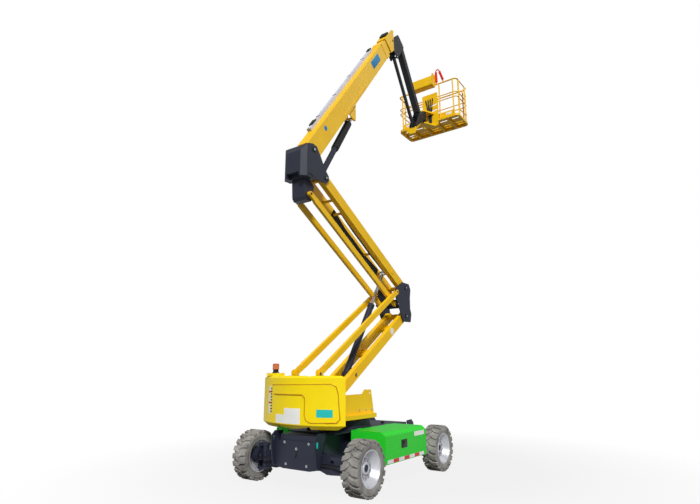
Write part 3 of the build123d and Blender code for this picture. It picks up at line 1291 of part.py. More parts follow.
with BuildPart() as platform_mount:
    # clamp rings above and below the rotator
    for low in (JIB_END[1] + ROTATOR_LOW - CLAMP_T - SEAT, JIB_END[1] + ROTATOR_HIGH + SEAT):
        with BuildSketch(Plane.XY.offset(low)) as ring:
            with Locations((axis_x, 0)):
                Circle(ROTATOR_R + 10.0)
            with Locations((rear_x - 30.0, PANEL_Y)):
                Rectangle(20.0, 240.0)
            make_hull(ring.edges())
        extrude(amount=CLAMP_T)
    # upright panel behind the rear rail, with two slots
    with BuildSketch(Plane(origin=(rear_x - PANEL_T, 0, 0), x_dir=(0, 1, 0), z_dir=(1, 0, 0))) as panel:
        with Locations((PANEL_Y, floor_z + (PANEL_HIGH + PANEL_LOW) / 2)):
            RectangleRounded(PANEL_W, PANEL_HIGH - PANEL_LOW, 24.0)
        for z in (330.0, 500.0):
            with Locations((PANEL_Y - 95.0, floor_z + z)):
                SlotOverall(230.0, 48.0, rotation=-8.0, mode=Mode.SUBTRACT)
    extrude(amount=PANEL_T)
save("platform_mount", platform_mount)

with BuildPart() as platform_floor:
    with BuildSketch(Plane.XY.offset(floor_z)) as floor_plan:
        with Locations(((rear_x + front_x) / 2, 0)):
            RectangleRounded(PLATFORM_D, PLATFORM_W, CORNER_R)
            RectangleRounded(PLATFORM_D - 2 * FLOOR_FRAME_W, PLATFORM_W - 2 * FLOOR_FRAME_W, 40.0, mode=Mode.SUBTRACT)
    extrude(amount=FLOOR_FRAME_H)
    for y in (-560.0, -190.0, 190.0, 560.0):
        with BuildSketch(Plane.XY.offset(floor_z)):
            with Locations(((rear_x + front_x) / 2, y)):
                Rectangle(PLATFORM_D - FLOOR_FRAME_W, 60.0)
        extrude(amount=FLOOR_FRAME_H)
    # deck sheet with drain slots between the bearers
    with BuildSketch(Plane.XY.offset(floor_z + FLOOR_FRAME_H)):
        with Locations(((rear_x + front_x) / 2, 0)):
            RectangleRounded(PLATFORM_D, PLATFORM_W, CORNER_R)
        for y in (-735.0, -375.0, 0.0, 375.0, 735.0):
            for x in (130.0, 250.0, 510.0, 630.0):
                with Locations((rear_x + x, y)):
                    SlotOverall(220.0, 40.0, rotation=90.0, mode=Mode.SUBTRACT)
    extrude(amount=DECK_SHEET)
    # gusset under the rear edge, on the left
    gusset = Plane(origin=(rear_x + 10.0, 0, 0), x_dir=(0, 1, 0), z_dir=(1, 0, 0))
    plate(
        gusset,
        [(700.0, floor_z), (580.0, floor_z - 150.0), (400.0, floor_z - 150.0), (300.0, floor_z)],
        16.0,
    )
save("platform_floor", platform_floor)

deck_z = floor_z + FLOOR_FRAME_H + DECK_SHEET
gate_hinge_x = front_x - GATE_POST
gate_latch_x = rear_x + GATE_POST
rear, front, left, right = rear_x + RAIL_R, front_x - RAIL_R, half_w - RAIL_R, -half_w + RAIL_R
lower_rail_z = floor_z + 590.0
upper_rail_z = floor_z + 740.0


def rail_loop(level, radius):
    """Rail that runs from one gate post round the platform to the other."""
    with BuildLine() as path:
        FilletPolyline(
            (gate_latch_x, right, level), (rear, right, level), (rear, left, level), (front, left, level),
            (front, right, level), (gate_hinge_x, right, level), radius=CORNER_R - RAIL_R,
        )
    with BuildSketch(Plane(origin=(gate_latch_x, right, level), z_dir=(-1, 0, 0))) as section:
        Circle(radius)
    sweep(section.sketch, path=path.wire())


with BuildPart() as platform_rails:
    for x, y in (
        (rear, left - CORNER_R), (rear, 380.0), (rear, -380.0), (rear, right + CORNER_R),
        (front, left - CORNER_R), (front, 0.0), (front, right + CORNER_R),
        ((rear + front) / 2, left), (gate_hinge_x, right), (gate_latch_x, right),
    ):
        tube_run((x, y, deck_z), (x, y, top_z), POST_R)
    for level, radius in ((top_z, RAIL_R), (lower_rail_z, MID_RAIL_R), (upper_rail_z, MID_RAIL_R)):
        rail_loop(level, radius)
    # toe boards stand on the floor, inside the posts
    for x in (rear + POST_R + TOE_T / 2 - 1.0, front - POST_R - TOE_T / 2 + 1.0):
        with BuildSketch(Plane.XY.offset(deck_z)):
            with Locations((x, 0)):
                Rectangle(TOE_T, 2 * (left - CORNER_R) + 2 * RAIL_R)
        extrude(amount=TOE_H)
save("platform_rails", platform_rails)

with BuildPart() as gate:
    gate_low = deck_z + 60.0
    gate_from = gate_latch_x + RAIL_R + MID_RAIL_R + WORK_GAP
    gate_to = gate_hinge_x - RAIL_R - MID_RAIL_R - WORK_GAP
    for level in (top_z, upper_rail_z, lower_rail_z, gate_low + 120.0):
        tube_run((gate_from, right, level), (gate_to, right, level), MID_RAIL_R)
    for x in (gate_from, gate_to):
        tube_run((x, right, gate_low), (x, right, top_z + MID_RAIL_R), MID_RAIL_R)
    # hinge lugs round the post
    for level in (floor_z + 250.0, floor_z + 850.0):
        with BuildSketch(Plane.XY.offset(level)) as lug:
            with Locations((gate_hinge_x, right)):
                Circle(RAIL_R + 8.0)
            with Locations((gate_to, right)):
                Circle(MID_RAIL_R)
            make_hull(lug.edges())
        extrude(amount=40.0)
        with BuildSketch(Plane.XY.offset(level)):
            with Locations((gate_hinge_x, right)):
                Circle(POST_R + PIN_FIT)
        extrude(amount=40.0, mode=Mode.SUBTRACT)
save("platform_gate", gate)

with BuildPart() as console:
    console_points = [
        (rear_x - 190.0, top_z - 90.0),
        (rear_x - 4.0, top_z - 90.0),
        (rear_x - 4.0, top_z + RAIL_R),
        (rear_x + 60.0, top_z + RAIL_R),
        (rear_x + 60.0, top_z + 230.0),
        (rear_x - 60.0, top_z + 290.0),
        (rear_x - 190.0, top_z + 190.0),
    ]
    with BuildSketch(Plane.XZ.offset(-CONSOLE_LEFT)) as console_side:
        with BuildLine():
            Polyline(*console_points, close=True)
        make_face()
        fillet(console_side.vertices().sort_by(Axis.X)[:2], 40.0)
        fillet(console_side.vertices().sort_by(Axis.Y)[-1], 40.0)
    extrude(amount=CONSOLE_LEFT - CONSOLE_RIGHT)
    # end plate, a little larger than the housing
    with BuildSketch(Plane.XZ.offset(-CONSOLE_RIGHT)) as end_side:
        with Locations((rear_x - 80.0, top_z + 90.0)):
            RectangleRounded(250.0, 400.0, 70.0)
        with Locations((rear_x + 40.0, top_z - 60.0)):
            Rectangle(100.0, 2 * (RAIL_R + 60.0), mode=Mode.SUBTRACT)
    extrude(amount=10.0)
save("control_console", console)

# =============================================================== guard tube beside the console
with BuildPart() as guard_tube:
    guard_x = rear + 4.0
    foot_z = top_z + RAIL_R
    root_z = foot_z - GUARD_R
    peak_z = foot_z + GUARD_H
    with BuildLine() as guard_path:
        FilletPolyline(
            (guard_x, GUARD_FOOT_Y, root_z), (guard_x, GUARD_PEAK_Y, peak_z),
            (guard_x, GUARD_CREST_Y, peak_z), (guard_x, GUARD_FAR_Y, root_z), radius=3 * GUARD_R,
        )
    rise = (0, GUARD_PEAK_Y - GUARD_FOOT_Y, peak_z - root_z)
    with BuildSketch(Plane(origin=(guard_x, GUARD_FOOT_Y, root_z), z_dir=rise)) as guard_section:
        Circle(GUARD_R)
    sweep(guard_section.sketch, path=guard_path.wire())
    # both feet are cut level, so that they stand on the rail's crest
    with BuildSketch(Plane.XY.offset(foot_z + SEAT)):
        with Locations((guard_x, (GUARD_FOOT_Y + GUARD_FAR_Y) / 2)):
            Rectangle(8 * GUARD_R, GUARD_FOOT_Y - GUARD_FAR_Y + 8 * GUARD_R)
    extrude(amount=-4 * GUARD_R, mode=Mode.SUBTRACT)
save("guard_tube", guard_tube)
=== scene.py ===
"""Looks of a battery powered articulating boom lift, built round its CAD frame."""

import json
import logging
import math
from dataclasses import dataclass
from enum import Enum
from functools import cache
from typing import Any, Iterable, Optional, Sequence

import bmesh
import bpy
from mathutils import Matrix, Vector
from mathutils.bvhtree import BVHTree

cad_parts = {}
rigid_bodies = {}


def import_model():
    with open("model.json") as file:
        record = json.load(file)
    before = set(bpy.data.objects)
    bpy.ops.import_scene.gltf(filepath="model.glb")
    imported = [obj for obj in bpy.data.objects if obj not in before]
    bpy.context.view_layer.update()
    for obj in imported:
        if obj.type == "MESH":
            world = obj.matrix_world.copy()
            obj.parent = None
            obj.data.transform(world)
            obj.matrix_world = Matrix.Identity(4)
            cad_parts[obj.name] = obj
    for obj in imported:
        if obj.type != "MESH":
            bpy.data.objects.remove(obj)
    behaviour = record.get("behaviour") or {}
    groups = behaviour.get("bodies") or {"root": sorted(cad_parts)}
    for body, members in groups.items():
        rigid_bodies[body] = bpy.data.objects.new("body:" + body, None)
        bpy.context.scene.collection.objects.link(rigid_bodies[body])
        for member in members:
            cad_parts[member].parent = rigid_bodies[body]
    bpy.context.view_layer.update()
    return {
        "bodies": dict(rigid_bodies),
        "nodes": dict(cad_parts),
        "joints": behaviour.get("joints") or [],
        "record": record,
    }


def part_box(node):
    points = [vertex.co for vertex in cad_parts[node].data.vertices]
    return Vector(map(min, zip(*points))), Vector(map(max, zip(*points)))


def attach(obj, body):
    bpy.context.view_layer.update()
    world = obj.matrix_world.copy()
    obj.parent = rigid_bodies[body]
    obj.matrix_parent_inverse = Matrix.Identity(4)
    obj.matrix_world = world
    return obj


LOG = logging.getLogger("boom_lift")
Colour = tuple[float, float, float]
Point = tuple[float, float, float]
Spots = tuple[tuple[float, float], ...]
Row = tuple[float, ...]
WHITE = (1.0, 1.0, 1.0, 1.0)
BLACK_NODES = ("jib_head", "rotator")
SMOOTH = math.radians(35.0)  # edges flatter than this are shaded smooth


def linear(code: str) -> Colour:
    """Turns a hex colour such as "#FFCC00" into linear light."""
    parts = [int(code[i : i + 2], 16) / 255 for i in (1, 3, 5)]
    out = [p / 12.92 if p <= 0.04045 else ((p + 0.055) / 1.055) ** 2.4 for p in parts]
    return (out[0], out[1], out[2])


class Face(Enum):
    """Direction that a fitting looks in."""

    REAR = (-1.0, 0.0, 0.0)
    FRONT = (1.0, 0.0, 0.0)
    LEFT = (0.0, 1.0, 0.0)
    RIGHT = (0.0, -1.0, 0.0)
    UP = (0.0, 0.0, 1.0)

    @property
    def way(self) -> Vector:
        """The direction as a vector."""
        return Vector(self.value)


SIDES = (("left", Face.LEFT), ("right", Face.RIGHT))


# ------------------------------------------------------------------ shader kit
class Wire:
    """A socket that carries a value, with arithmetic that adds Math nodes."""

    def __init__(self, shader: "Shader", socket: Any) -> None:
        """Keeps the shader that the socket belongs to."""
        self.shader = shader
        self.socket = socket

    def other(self, name: str) -> "Wire":
        """Another output of the same node."""
        return Wire(self.shader, self.socket.node.outputs[name])

    def _op(self, kind: str, value: Any) -> "Wire":
        """Adds one Math node for this wire and a value."""
        return self.shader.node("ShaderNodeMath", {"operation": kind}, {0: self, 1: value})

    def __add__(self, value: Any) -> "Wire":
        """Sum."""
        return self._op("ADD", value)

    def __mul__(self, value: Any) -> "Wire":
        """Product."""
        return self._op("MULTIPLY", value)

    __radd__ = __add__
    __rmul__ = __mul__


class Shader:
    """The node tree of a material or world, filled through one method."""

    def __init__(self, name: str, world: Any = None) -> None:
        """Empties the tree of a new material, or of a world.

        Args:
            name: The material's name.
            world: The world that is filled instead, where there is one.
        """
        self.end = "ShaderNodeOutputWorld" if world else "ShaderNodeOutputMaterial"
        self.material = world or bpy.data.materials.new(name)
        self.material.use_nodes = True
        self.tree = self.material.node_tree
        self.tree.nodes.clear()

    def node(
        self, kind: str, settings: dict[str, Any], inputs: dict[Any, Any], out: Any = 0
    ) -> Wire:
        """Adds a node, sets it up and joins its sockets.

        Args:
            kind: The node's type name.
            settings: Attributes set first, such as a Math node's operation.
            inputs: Values or wires for its input sockets.
            out: The output socket that is returned.

        Returns:
            A wire from the chosen output.
        """
        made = self.tree.nodes.new(kind)
        for key, value in settings.items():
            if key == "ramp":
                for stop, place in zip(made.color_ramp.elements, value):
                    stop.position = place
            else:
                setattr(made, key, value)
        for key, value in inputs.items():
            if isinstance(value, Wire):
                self.tree.links.new(value.socket, made.inputs[key])
            else:
                made.inputs[key].default_value = value
        return Wire(self, made.outputs[out])

    def coords(self) -> Wire:
        """Object coordinates."""
        return self.node("ShaderNodeTexCoord", {}, {}, "Object")

    def noise(self, scale: float, detail: float = 3.0) -> Wire:
        """Soft noise over the object."""
        inputs = {"Vector": self.coords(), "Scale": scale, "Detail": detail}
        return self.node("ShaderNodeTexNoise", {}, inputs, "Fac")

    def ramp(self, value: Wire, low: float, high: float) -> Wire:
        """Stretches a band of values from black to white."""
        return self.node("ShaderNodeValToRGB", {"ramp": (low, high)}, {"Fac": value}, "Color")

    def blend(self, mask: Wire, first: Any, second: Any) -> Wire:
        """Mixes two colours by a mask."""
        low, high = (c if isinstance(c, Wire) else (*c, 1.0) for c in (first, second))
        return self.node("ShaderNodeMix", {"data_type": "RGBA"}, {0: mask, 6: low, 7: high}, 2)

    def surface(self, inputs: dict[str, Any]) -> Any:
        """Adds the main shader and joins it to the output.

        Args:
            inputs: Values or wires of the Principled shader.

        Returns:
            The finished material.
        """
        self.output(self.node("ShaderNodeBsdfPrincipled", {}, inputs))
        return self.material

    def output(self, body: Wire) -> None:
        """Joins a shader to the tree's output."""
        end = self.tree.nodes.new(self.end)
        self.tree.links.new(body.socket, end.inputs["Surface"])

    def seen(self, glossy: float) -> Wire:
        """One for rays seen straight or through glass, and a share for glossy rays.

        Args:
            glossy: The share that glossy rays get.

        Returns:
            A wire from 0 to 1.
        """
        camera = self.node("ShaderNodeLightPath", {}, {}, "Is Camera Ray")
        straight = camera + camera.other("Is Transmission Ray")
        mirrored = camera.other("Is Glossy Ray") * glossy
        settings = {"operation": "ADD", "use_clamp": True}
        return self.node("ShaderNodeMath", settings, {0: straight, 1: mirrored})

    def sine(self, value: Wire) -> Wire:
        """Sine of a value."""
        return self.node("ShaderNodeMath", {"operation": "SINE"}, {0: value})

    def bump(self, height: Wire, strength: float, distance: float) -> Wire:
        """Turns a height into a surface normal."""
        inputs = {"Height": height, "Strength": strength, "Distance": distance}
        return self.node("ShaderNodeBump", {}, inputs, "Normal")

    def axis(self, name: str) -> Wire:
        """One of the object coordinates, named X, Y or Z."""
        return self.node("ShaderNodeSeparateXYZ", {}, {"Vector": self.coords()}, name)


def upright(way: Vector) -> Matrix:
    """A turn that stands a form's Z along a direction."""
    return way.to_track_quat("Z", "Y").to_matrix().to_4x4()


def link(name: str, data: Any) -> Any:
    """Makes an object of some data and links it to the scene."""
    made = bpy.data.objects.new(name, data)
    bpy.context.scene.collection.objects.link(made)
    return made


def mesh_of(work: bmesh.types.BMesh, name: str) -> Any:
    """Turns a bmesh into a mesh and frees it."""
    mesh = bpy.data.meshes.new(name)
    work.to_mesh(mesh)
    work.free()
    return mesh


@dataclass(frozen=True)
class Paint:
    """Painted, moulded or cast finish with mottling and a fine surface."""

    name: str
    colour: str
    roughness: float = 0.4
    metallic: float = 0.0
    coat: float = 0.0
    mottle: float = 0.05
    scale: float = 3.0
    grain: float = 90.0
    relief: float = 0.005
    depth: float = 0.0015
    sheen: float = 0.3

    def material(self) -> Any:
        """A node material with varied colour, roughness and bump."""
        shader = Shader(self.name)
        colour = linear(self.colour)
        mask = shader.ramp(shader.noise(self.scale), 0.32, 0.68)
        fine = shader.noise(self.grain, 2.0)
        dark = tuple(c * (1 - self.mottle) for c in colour)
        light = tuple(min(1.0, c * (1 + self.mottle)) for c in colour)
        return shader.surface(
            {
                "Base Color": shader.blend(mask, dark, light),
                "Roughness": fine * 0.08 + (self.roughness - 0.04),
                "Metallic": self.metallic,
                "Coat Weight": self.coat,
                "Specular IOR Level": self.sheen,
                "Normal": shader.bump(fine, self.relief, self.depth),
            }
        )


@dataclass(frozen=True)
class Rubber:
    """Solid tyre rubber, dusty in soft patches over darker rubber."""

    name: str
    dust: str
    dark: str

    def material(self) -> Any:
        """A node material whose dust gathers in soft patches."""
        shader = Shader(self.name)
        patches = shader.ramp(shader.noise(5.0, 6.0), 0.3, 0.7)
        fine = shader.noise(140.0, 4.0)
        height = fine * 0.6 + patches * 0.4
        return shader.surface(
            {
                "Base Color": shader.blend(patches, linear(self.dark), linear(self.dust)),
                "Roughness": fine * 0.1 + 0.82,
                "Specular IOR Level": 0.2,
                "Normal": shader.bump(height, 0.35, 0.004),
            }
        )


@dataclass(frozen=True)
class Dimpled:
    """Enamel over sheet with a lattice of shallow pressed dimples."""

    name: str
    colour: str
    pitch: float = 70.0

    def material(self) -> Any:
        """A node material with dimples on its bump and painted shade on the dimples in its colour.
        """
        shader = Shader(self.name)
        colour = linear(self.colour)
        across = shader.sine(shader.axis("X") * self.pitch)
        upward = shader.sine(shader.axis("Z") * self.pitch)
        lattice = shader.ramp(across * upward, 0.35, 0.8)
        mask = shader.noise(3.0)
        dark = tuple(c * 0.9 for c in colour)
        # The dimples are darkened to 0.8 of the colour: painted shade in the pressed hollows.
        dimple_shade = shader.blend(lattice, colour, tuple(c * 0.8 for c in colour))
        base = shader.blend(mask * 0.25, dimple_shade, dark)
        return shader.surface(
            {
                "Base Color": base,
                "Roughness": mask * 0.1 + 0.4,
                "Specular IOR Level": 0.3,
                "Normal": shader.bump(lattice, 0.3, 0.004),
            }
        )


class Finish(Enum):
    """Every finish of the machine, by the slot that it is kept under."""

    ARM = ("lift_yellow", Paint("arm enamel", "#FFC806", 0.45))
    HOOD = ("hood_yellow", Paint("hood enamel", "#FFE00A", 0.4, mottle=0.03))
    SLATE = ("slate", Paint("slate enamel", "#262A39", 0.52, mottle=0.08))
    GREEN = ("green", Dimpled("green enamel", "#25D62B"))
    BLACK = ("black", Paint("black enamel", "#0B0D15", 0.55, mottle=0.12))
    RIM = ("steel", Paint("rim silver", "#C6C7CC", 0.42, 0.45, mottle=0.1, scale=7.0, sheen=0.5))
    ROD = ("chrome", Paint("chromed rod", "#D5D7DB", 0.2, 1.0))
    WEIGHT = ("cast_weight", Paint("cast counterweight", "#3A3B40", 0.62, relief=0.3))
    BATTERY = ("battery", Paint("battery case", "#26262A", 0.5))
    TYRE = ("tyre", Rubber("worn rubber", "#AAA7A2", "#716E6B"))
    BELLOWS = ("bellows", Paint("bellows rubber", "#121317", 0.65, relief=0.2))
    LENS = ("amber", Paint("amber lens", "#BE5626", 0.2, coat=0.4))
    TRAY = ("tray_grey", Paint("hose channel", "#C9CCDD", 0.5))
    GUARD = ("red_foam", Paint("guard foam", "#DC3326", 0.7, relief=0.25))


class Trim(Enum):
    """Finishes of fittings, each kept under the slot of what it sits on."""

    BOLT = ("steel", Paint("zinc bolt", "#B9BBBE", 0.34, 0.9, mottle=0.15, scale=30.0))
    DARK = ("black", Paint("dark fitting", "#17181C", 0.46, mottle=0.1))
    HOSE = ("black", Paint("hose rubber", "#141519", 0.55, relief=0.3, grain=260.0))
    PLATE = ("tray_grey", Paint("blank white plate", "#F2F2EE", 0.42))
    CYAN = ("tray_grey", Paint("blank cyan plate", "#25C3BC", 0.34))
    BLUE = ("tray_grey", Paint("blank blue plate", "#0F86BE", 0.5))
    STRIPE = ("red_foam", Paint("red reflective band", "#D3202A", 0.3))
    SILVER = ("tray_grey", Paint("white reflective band", "#ECECEC", 0.3))
    KNOB = ("red_foam", Paint("red knob", "#C81D1D", 0.35))
    # The amber rib is lighter than the lens: painted highlight bands on the beacon.
    RIB_HIGHLIGHT = ("amber", Paint("amber rib highlight", "#F0A070", 0.3))
    # The seam shade is a darker ochre than the hood: painted shade for the groove round the door.
    SEAM_SHADE = ("hood_yellow", Paint("seam shade", "#C99407", 0.6))
    PAD = ("red_foam", Paint("guard sleeve", "#D92A20", 0.72, relief=0.3, grain=200.0))


# ------------------------------------------------------------------ making and seating
class Skin:
    """The outer surface of some CAD nodes, for seating fittings on it."""

    def __init__(self, frame: dict[str, Any], *nodes: str) -> None:
        """Builds a search tree over some CAD nodes of the loaded frame."""
        work = bmesh.new()
        for node in nodes:
            work.from_mesh(frame["nodes"][node].data)
        bmesh.ops.triangulate(work, faces=work.faces[:])
        self.tree = BVHTree.FromBMesh(work)
        work.free()

    def seat(self, place: Row, face: Vector, reach: float = 2.0) -> Optional[Vector]:
        """Finds the surface under a place.

        Args:
            place: A point on the line that is searched.
            face: The direction that the surface looks in.
            reach: How far outside the search starts.

        Returns:
            The point on the surface, or None where there is none.
        """
        start = Vector(place) + face * reach
        return self.tree.ray_cast(start, -face, 2 * reach)[0]

    def seats(self, places: Iterable[Row], face: Vector, reach: float = 2.0) -> list[Vector]:
        """The surface under each place that has any."""
        found = (self.seat(place, face, reach) for place in places)
        return [spot for spot in found if spot is not None]


class Shape:
    """A fitting under construction, as one bmesh in metres, whose methods return it."""

    def __init__(self) -> None:
        """Starts empty."""
        self.work = bmesh.new()

    def _add(self, made: bmesh.types.BMesh, centre: Vector, turn: Matrix) -> None:
        """Turns a finished form about its own origin, moves it to its place and joins it on."""
        bmesh.ops.transform(made, matrix=Matrix.Translation(centre) @ turn, verts=made.verts[:])
        bmesh.ops.recalc_face_normals(made, faces=made.faces[:])
        mesh = mesh_of(made, "form")
        self.work.from_mesh(mesh)
        bpy.data.meshes.remove(mesh)

    def _bevel(self, made: bmesh.types.BMesh, edges: list[Any], width: float) -> None:
        """Rounds some edges of a form."""
        bmesh.ops.bevel(
            made, geom=edges, offset=width, affect="EDGES", segments=2, profile=0.5, material=-1
        )

    def block(
        self, centre: Vector, size: Point, turn: Optional[Matrix] = None, edge: float = 0.003
    ) -> "Shape":
        """Adds a block with rounded edges.

        Args:
            centre: Its middle.
            size: Its full sizes.
            turn: Its turn, as a 4 by 4 matrix.
            edge: The width of its rounded edges.
        """
        made = bmesh.new()
        bmesh.ops.create_cube(made, size=1.0)
        bmesh.ops.scale(made, vec=Vector(size), verts=made.verts[:])
        self._bevel(made, made.edges[:], min(edge, 0.4 * min(size)))
        self._add(made, centre, turn or Matrix.Identity(4))
        return self

    def disc(
        self, foot: Vector, way: Vector, radius: float, length: float, sides: int = 32,
        edge: float = 0.0,
    ) -> "Shape":
        """Adds a round or many-sided boss that stands on a foot.

        Args:
            foot: The middle of its foot.
            way: The direction that it stands in.
            radius: Its radius at the foot.
            length: Its height.
            sides: How many sides it has.
            edge: The width of its top bevel.
        """
        made = bmesh.new()
        bmesh.ops.create_cone(
            made, cap_ends=True, segments=sides, radius1=radius, radius2=radius, depth=length
        )
        if edge > 0:
            rim = [e for e in made.edges if all(v.co.z > 0 for v in e.verts)]
            self._bevel(made, rim, edge)
        self._add(made, foot + way * (length / 2), upright(way))
        return self

    def bolt(self, foot: Vector, way: Vector, size: float = 0.012) -> "Shape":
        """Adds a washer and a six-sided head.

        Args:
            foot: The place on the surface.
            way: The direction that it looks in.
            size: The head's radius.
        """
        low = foot - way * 0.001
        self.disc(low, way, size * 1.45, size * 0.3 + 0.001, 24)
        self.disc(foot + way * (size * 0.25), way, size, size * 0.75, 6, size * 0.14)
        return self

    def bolts(self, seats: Iterable[Vector], way: Vector, size: float) -> "Shape":
        """Adds a bolt at each place."""
        for seat in seats:
            self.bolt(seat, way, size)
        return self

    def ring(
        self, centre: Vector, way: Vector, radius: float, thick: float, sides: int = 40
    ) -> "Shape":
        """Adds a ring of round section by a full spin.

        Args:
            centre: The ring's middle.
            way: Its axis.
            radius: From its middle to the section's.
            thick: The section's radius.
            sides: Steps of the spin.
        """
        made = bmesh.new()
        section = bmesh.ops.create_circle(made, cap_ends=False, segments=10, radius=thick)
        stand = Matrix.Translation((radius, 0, 0)) @ Matrix.Rotation(math.radians(90), 4, "X")
        bmesh.ops.transform(made, matrix=stand, verts=section["verts"])
        bmesh.ops.spin(
            made, geom=made.verts[:] + made.edges[:], cent=(0, 0, 0), axis=(0, 0, 1),
            angle=math.tau, steps=sides, use_merge=True, use_duplicate=False,
        )
        self._add(made, centre, upright(way))
        return self

    def sheet(
        self, skin: Skin, corners: tuple[Point, Point], face: Face, proud: float = 0.0015,
        cells: int = 14,
    ) -> "Shape":
        """Lays a thin plate that follows a surface.

        Args:
            skin: The surface.
            corners: Two opposite corners, in any order.
            face: The direction that the surface looks in.
            proud: How far the plate stands proud.
            cells: Cells along each side.
        """
        made = bmesh.new()
        bmesh.ops.create_grid(made, x_segments=cells, y_segments=cells, size=0.5)
        first, last = Vector(corners[0]), Vector(corners[1])
        flat = [i for i in range(3) if abs(face.way[i]) < 0.5]
        for vert in made.verts:
            along = (vert.co.x + 0.5, vert.co.y + 0.5)
            spot = (first + last) / 2
            for step, axis in zip(along, flat):
                spot[axis] = first[axis] + (last[axis] - first[axis]) * step
            found = skin.seat(tuple(spot), face.way)
            vert.co = (found if found is not None else spot) + face.way * proud
        bmesh.ops.recalc_face_normals(made, faces=made.faces[:])
        made.faces.ensure_lookup_table()
        if made.faces[0].normal.dot(face.way) < 0:
            bmesh.ops.reverse_faces(made, faces=made.faces[:])
        bmesh.ops.solidify(made, geom=made.faces[:], thickness=proud * 0.9)
        self._add(made, Vector(), Matrix.Identity(4))
        return self

    def piece(self, name: str, body: str, finish: Any) -> None:
        """Ends the shape as an object that rides on a body.

        Args:
            name: The piece's name.
            body: The body that it moves with.
            finish: A member of Finish or Trim.
        """
        mesh = mesh_of(self.work, name)
        mesh.shade_smooth()
        mesh.set_sharp_from_angle(angle=SMOOTH)
        enter(name, mesh, body, finish)


@cache
def coat(finish: Any) -> Any:
    """The material of a member of Finish or Trim, made once."""
    return finish.value[1].material()


def enter(name: str, data: Any, body: str, finish: Any) -> None:
    """Puts a finished piece in the scene, on its body and under its slot.

    Args:
        name: The piece's name.
        data: Its mesh or curve.
        body: The body that it moves with.
        finish: A member of Finish or Trim.
    """
    data.materials.append(coat(finish))
    made = link(name, data)
    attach(made, body)
    LOG.info("%s rides on %s", name, body)


def pipe(name: str, body: str, route: Sequence[Vector], radius: float, finish: Any) -> None:
    """Lays a clamped hose or pipe along a route.

    Args:
        name: The piece's name.
        body: The body that it is clamped to.
        route: Control points of its line.
        radius: Its radius.
        finish: A member of Finish or Trim.
    """
    line = bpy.data.curves.new(name, "CURVE")
    line.dimensions = "3D"
    line.bevel_depth = radius
    line.bevel_resolution = 3
    line.resolution_u = 8
    line.use_fill_caps = True
    spline = line.splines.new("NURBS")
    spline.points.add(len(route) - 1)
    for point, spot in zip(spline.points, route):
        point.co = (*spot, 1.0)
    spline.order_u = 3
    spline.use_endpoint_u = True
    enter(name, line, body, finish)


class Machine:
    """The loaded frame, with the places that fittings are measured from."""

    def __init__(self, frame: dict[str, Any]) -> None:
        """Keeps the loaded frame and finds its joints and the boom's line."""
        self.frame = frame
        self.joints = {joint["name"]: Vector(joint["pos_m"]) for joint in frame["joints"]}
        low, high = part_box("chassis_frame")
        self.middle = (low.x + high.x) / 2
        self.boom_way = self.axis("telescope")
        self.boom_up = Vector((-self.boom_way.z, 0.0, self.boom_way.x))
        slope = math.atan2(self.boom_way.z, self.boom_way.x)
        self.boom_turn = Matrix.Rotation(-slope, 4, "Y")

    def skin(self, *nodes: str) -> Skin:
        """The outer surface of some CAD nodes."""
        return Skin(self.frame, *nodes)

    def axis(self, joint: str) -> Vector:
        """The axis that a joint turns about or slides along."""
        return next(Vector(j["axis"]) for j in self.frame["joints"] if j["name"] == joint)

    def on_boom(self, part: float, rise: float = 0.0, y: float = 0.0) -> Vector:
        """A point along the boom from its pivot, raised square to it."""
        spot = self.joints["boom_lift"] + self.boom_way * part + self.boom_up * rise
        return Vector((spot.x, y, spot.z))

    def along(self, start: str, end: str, part: float, off: float, y: float) -> Vector:
        """A point beside the line between two pins.

        Args:
            start: The joint that the line starts at.
            end: The joint that it ends at.
            part: How far along, from 0 to 1.
            off: How far to the upper side of the line.
            y: The point's Y.

        Returns:
            The point.
        """
        first, last = self.joints[start], self.joints[end]
        line = last - first
        side = Vector((-line.z, 0.0, line.x)).normalized()
        side = side if side.z > 0 else -side
        spot = first + line * part + side * off
        return Vector((spot.x, y, spot.z))


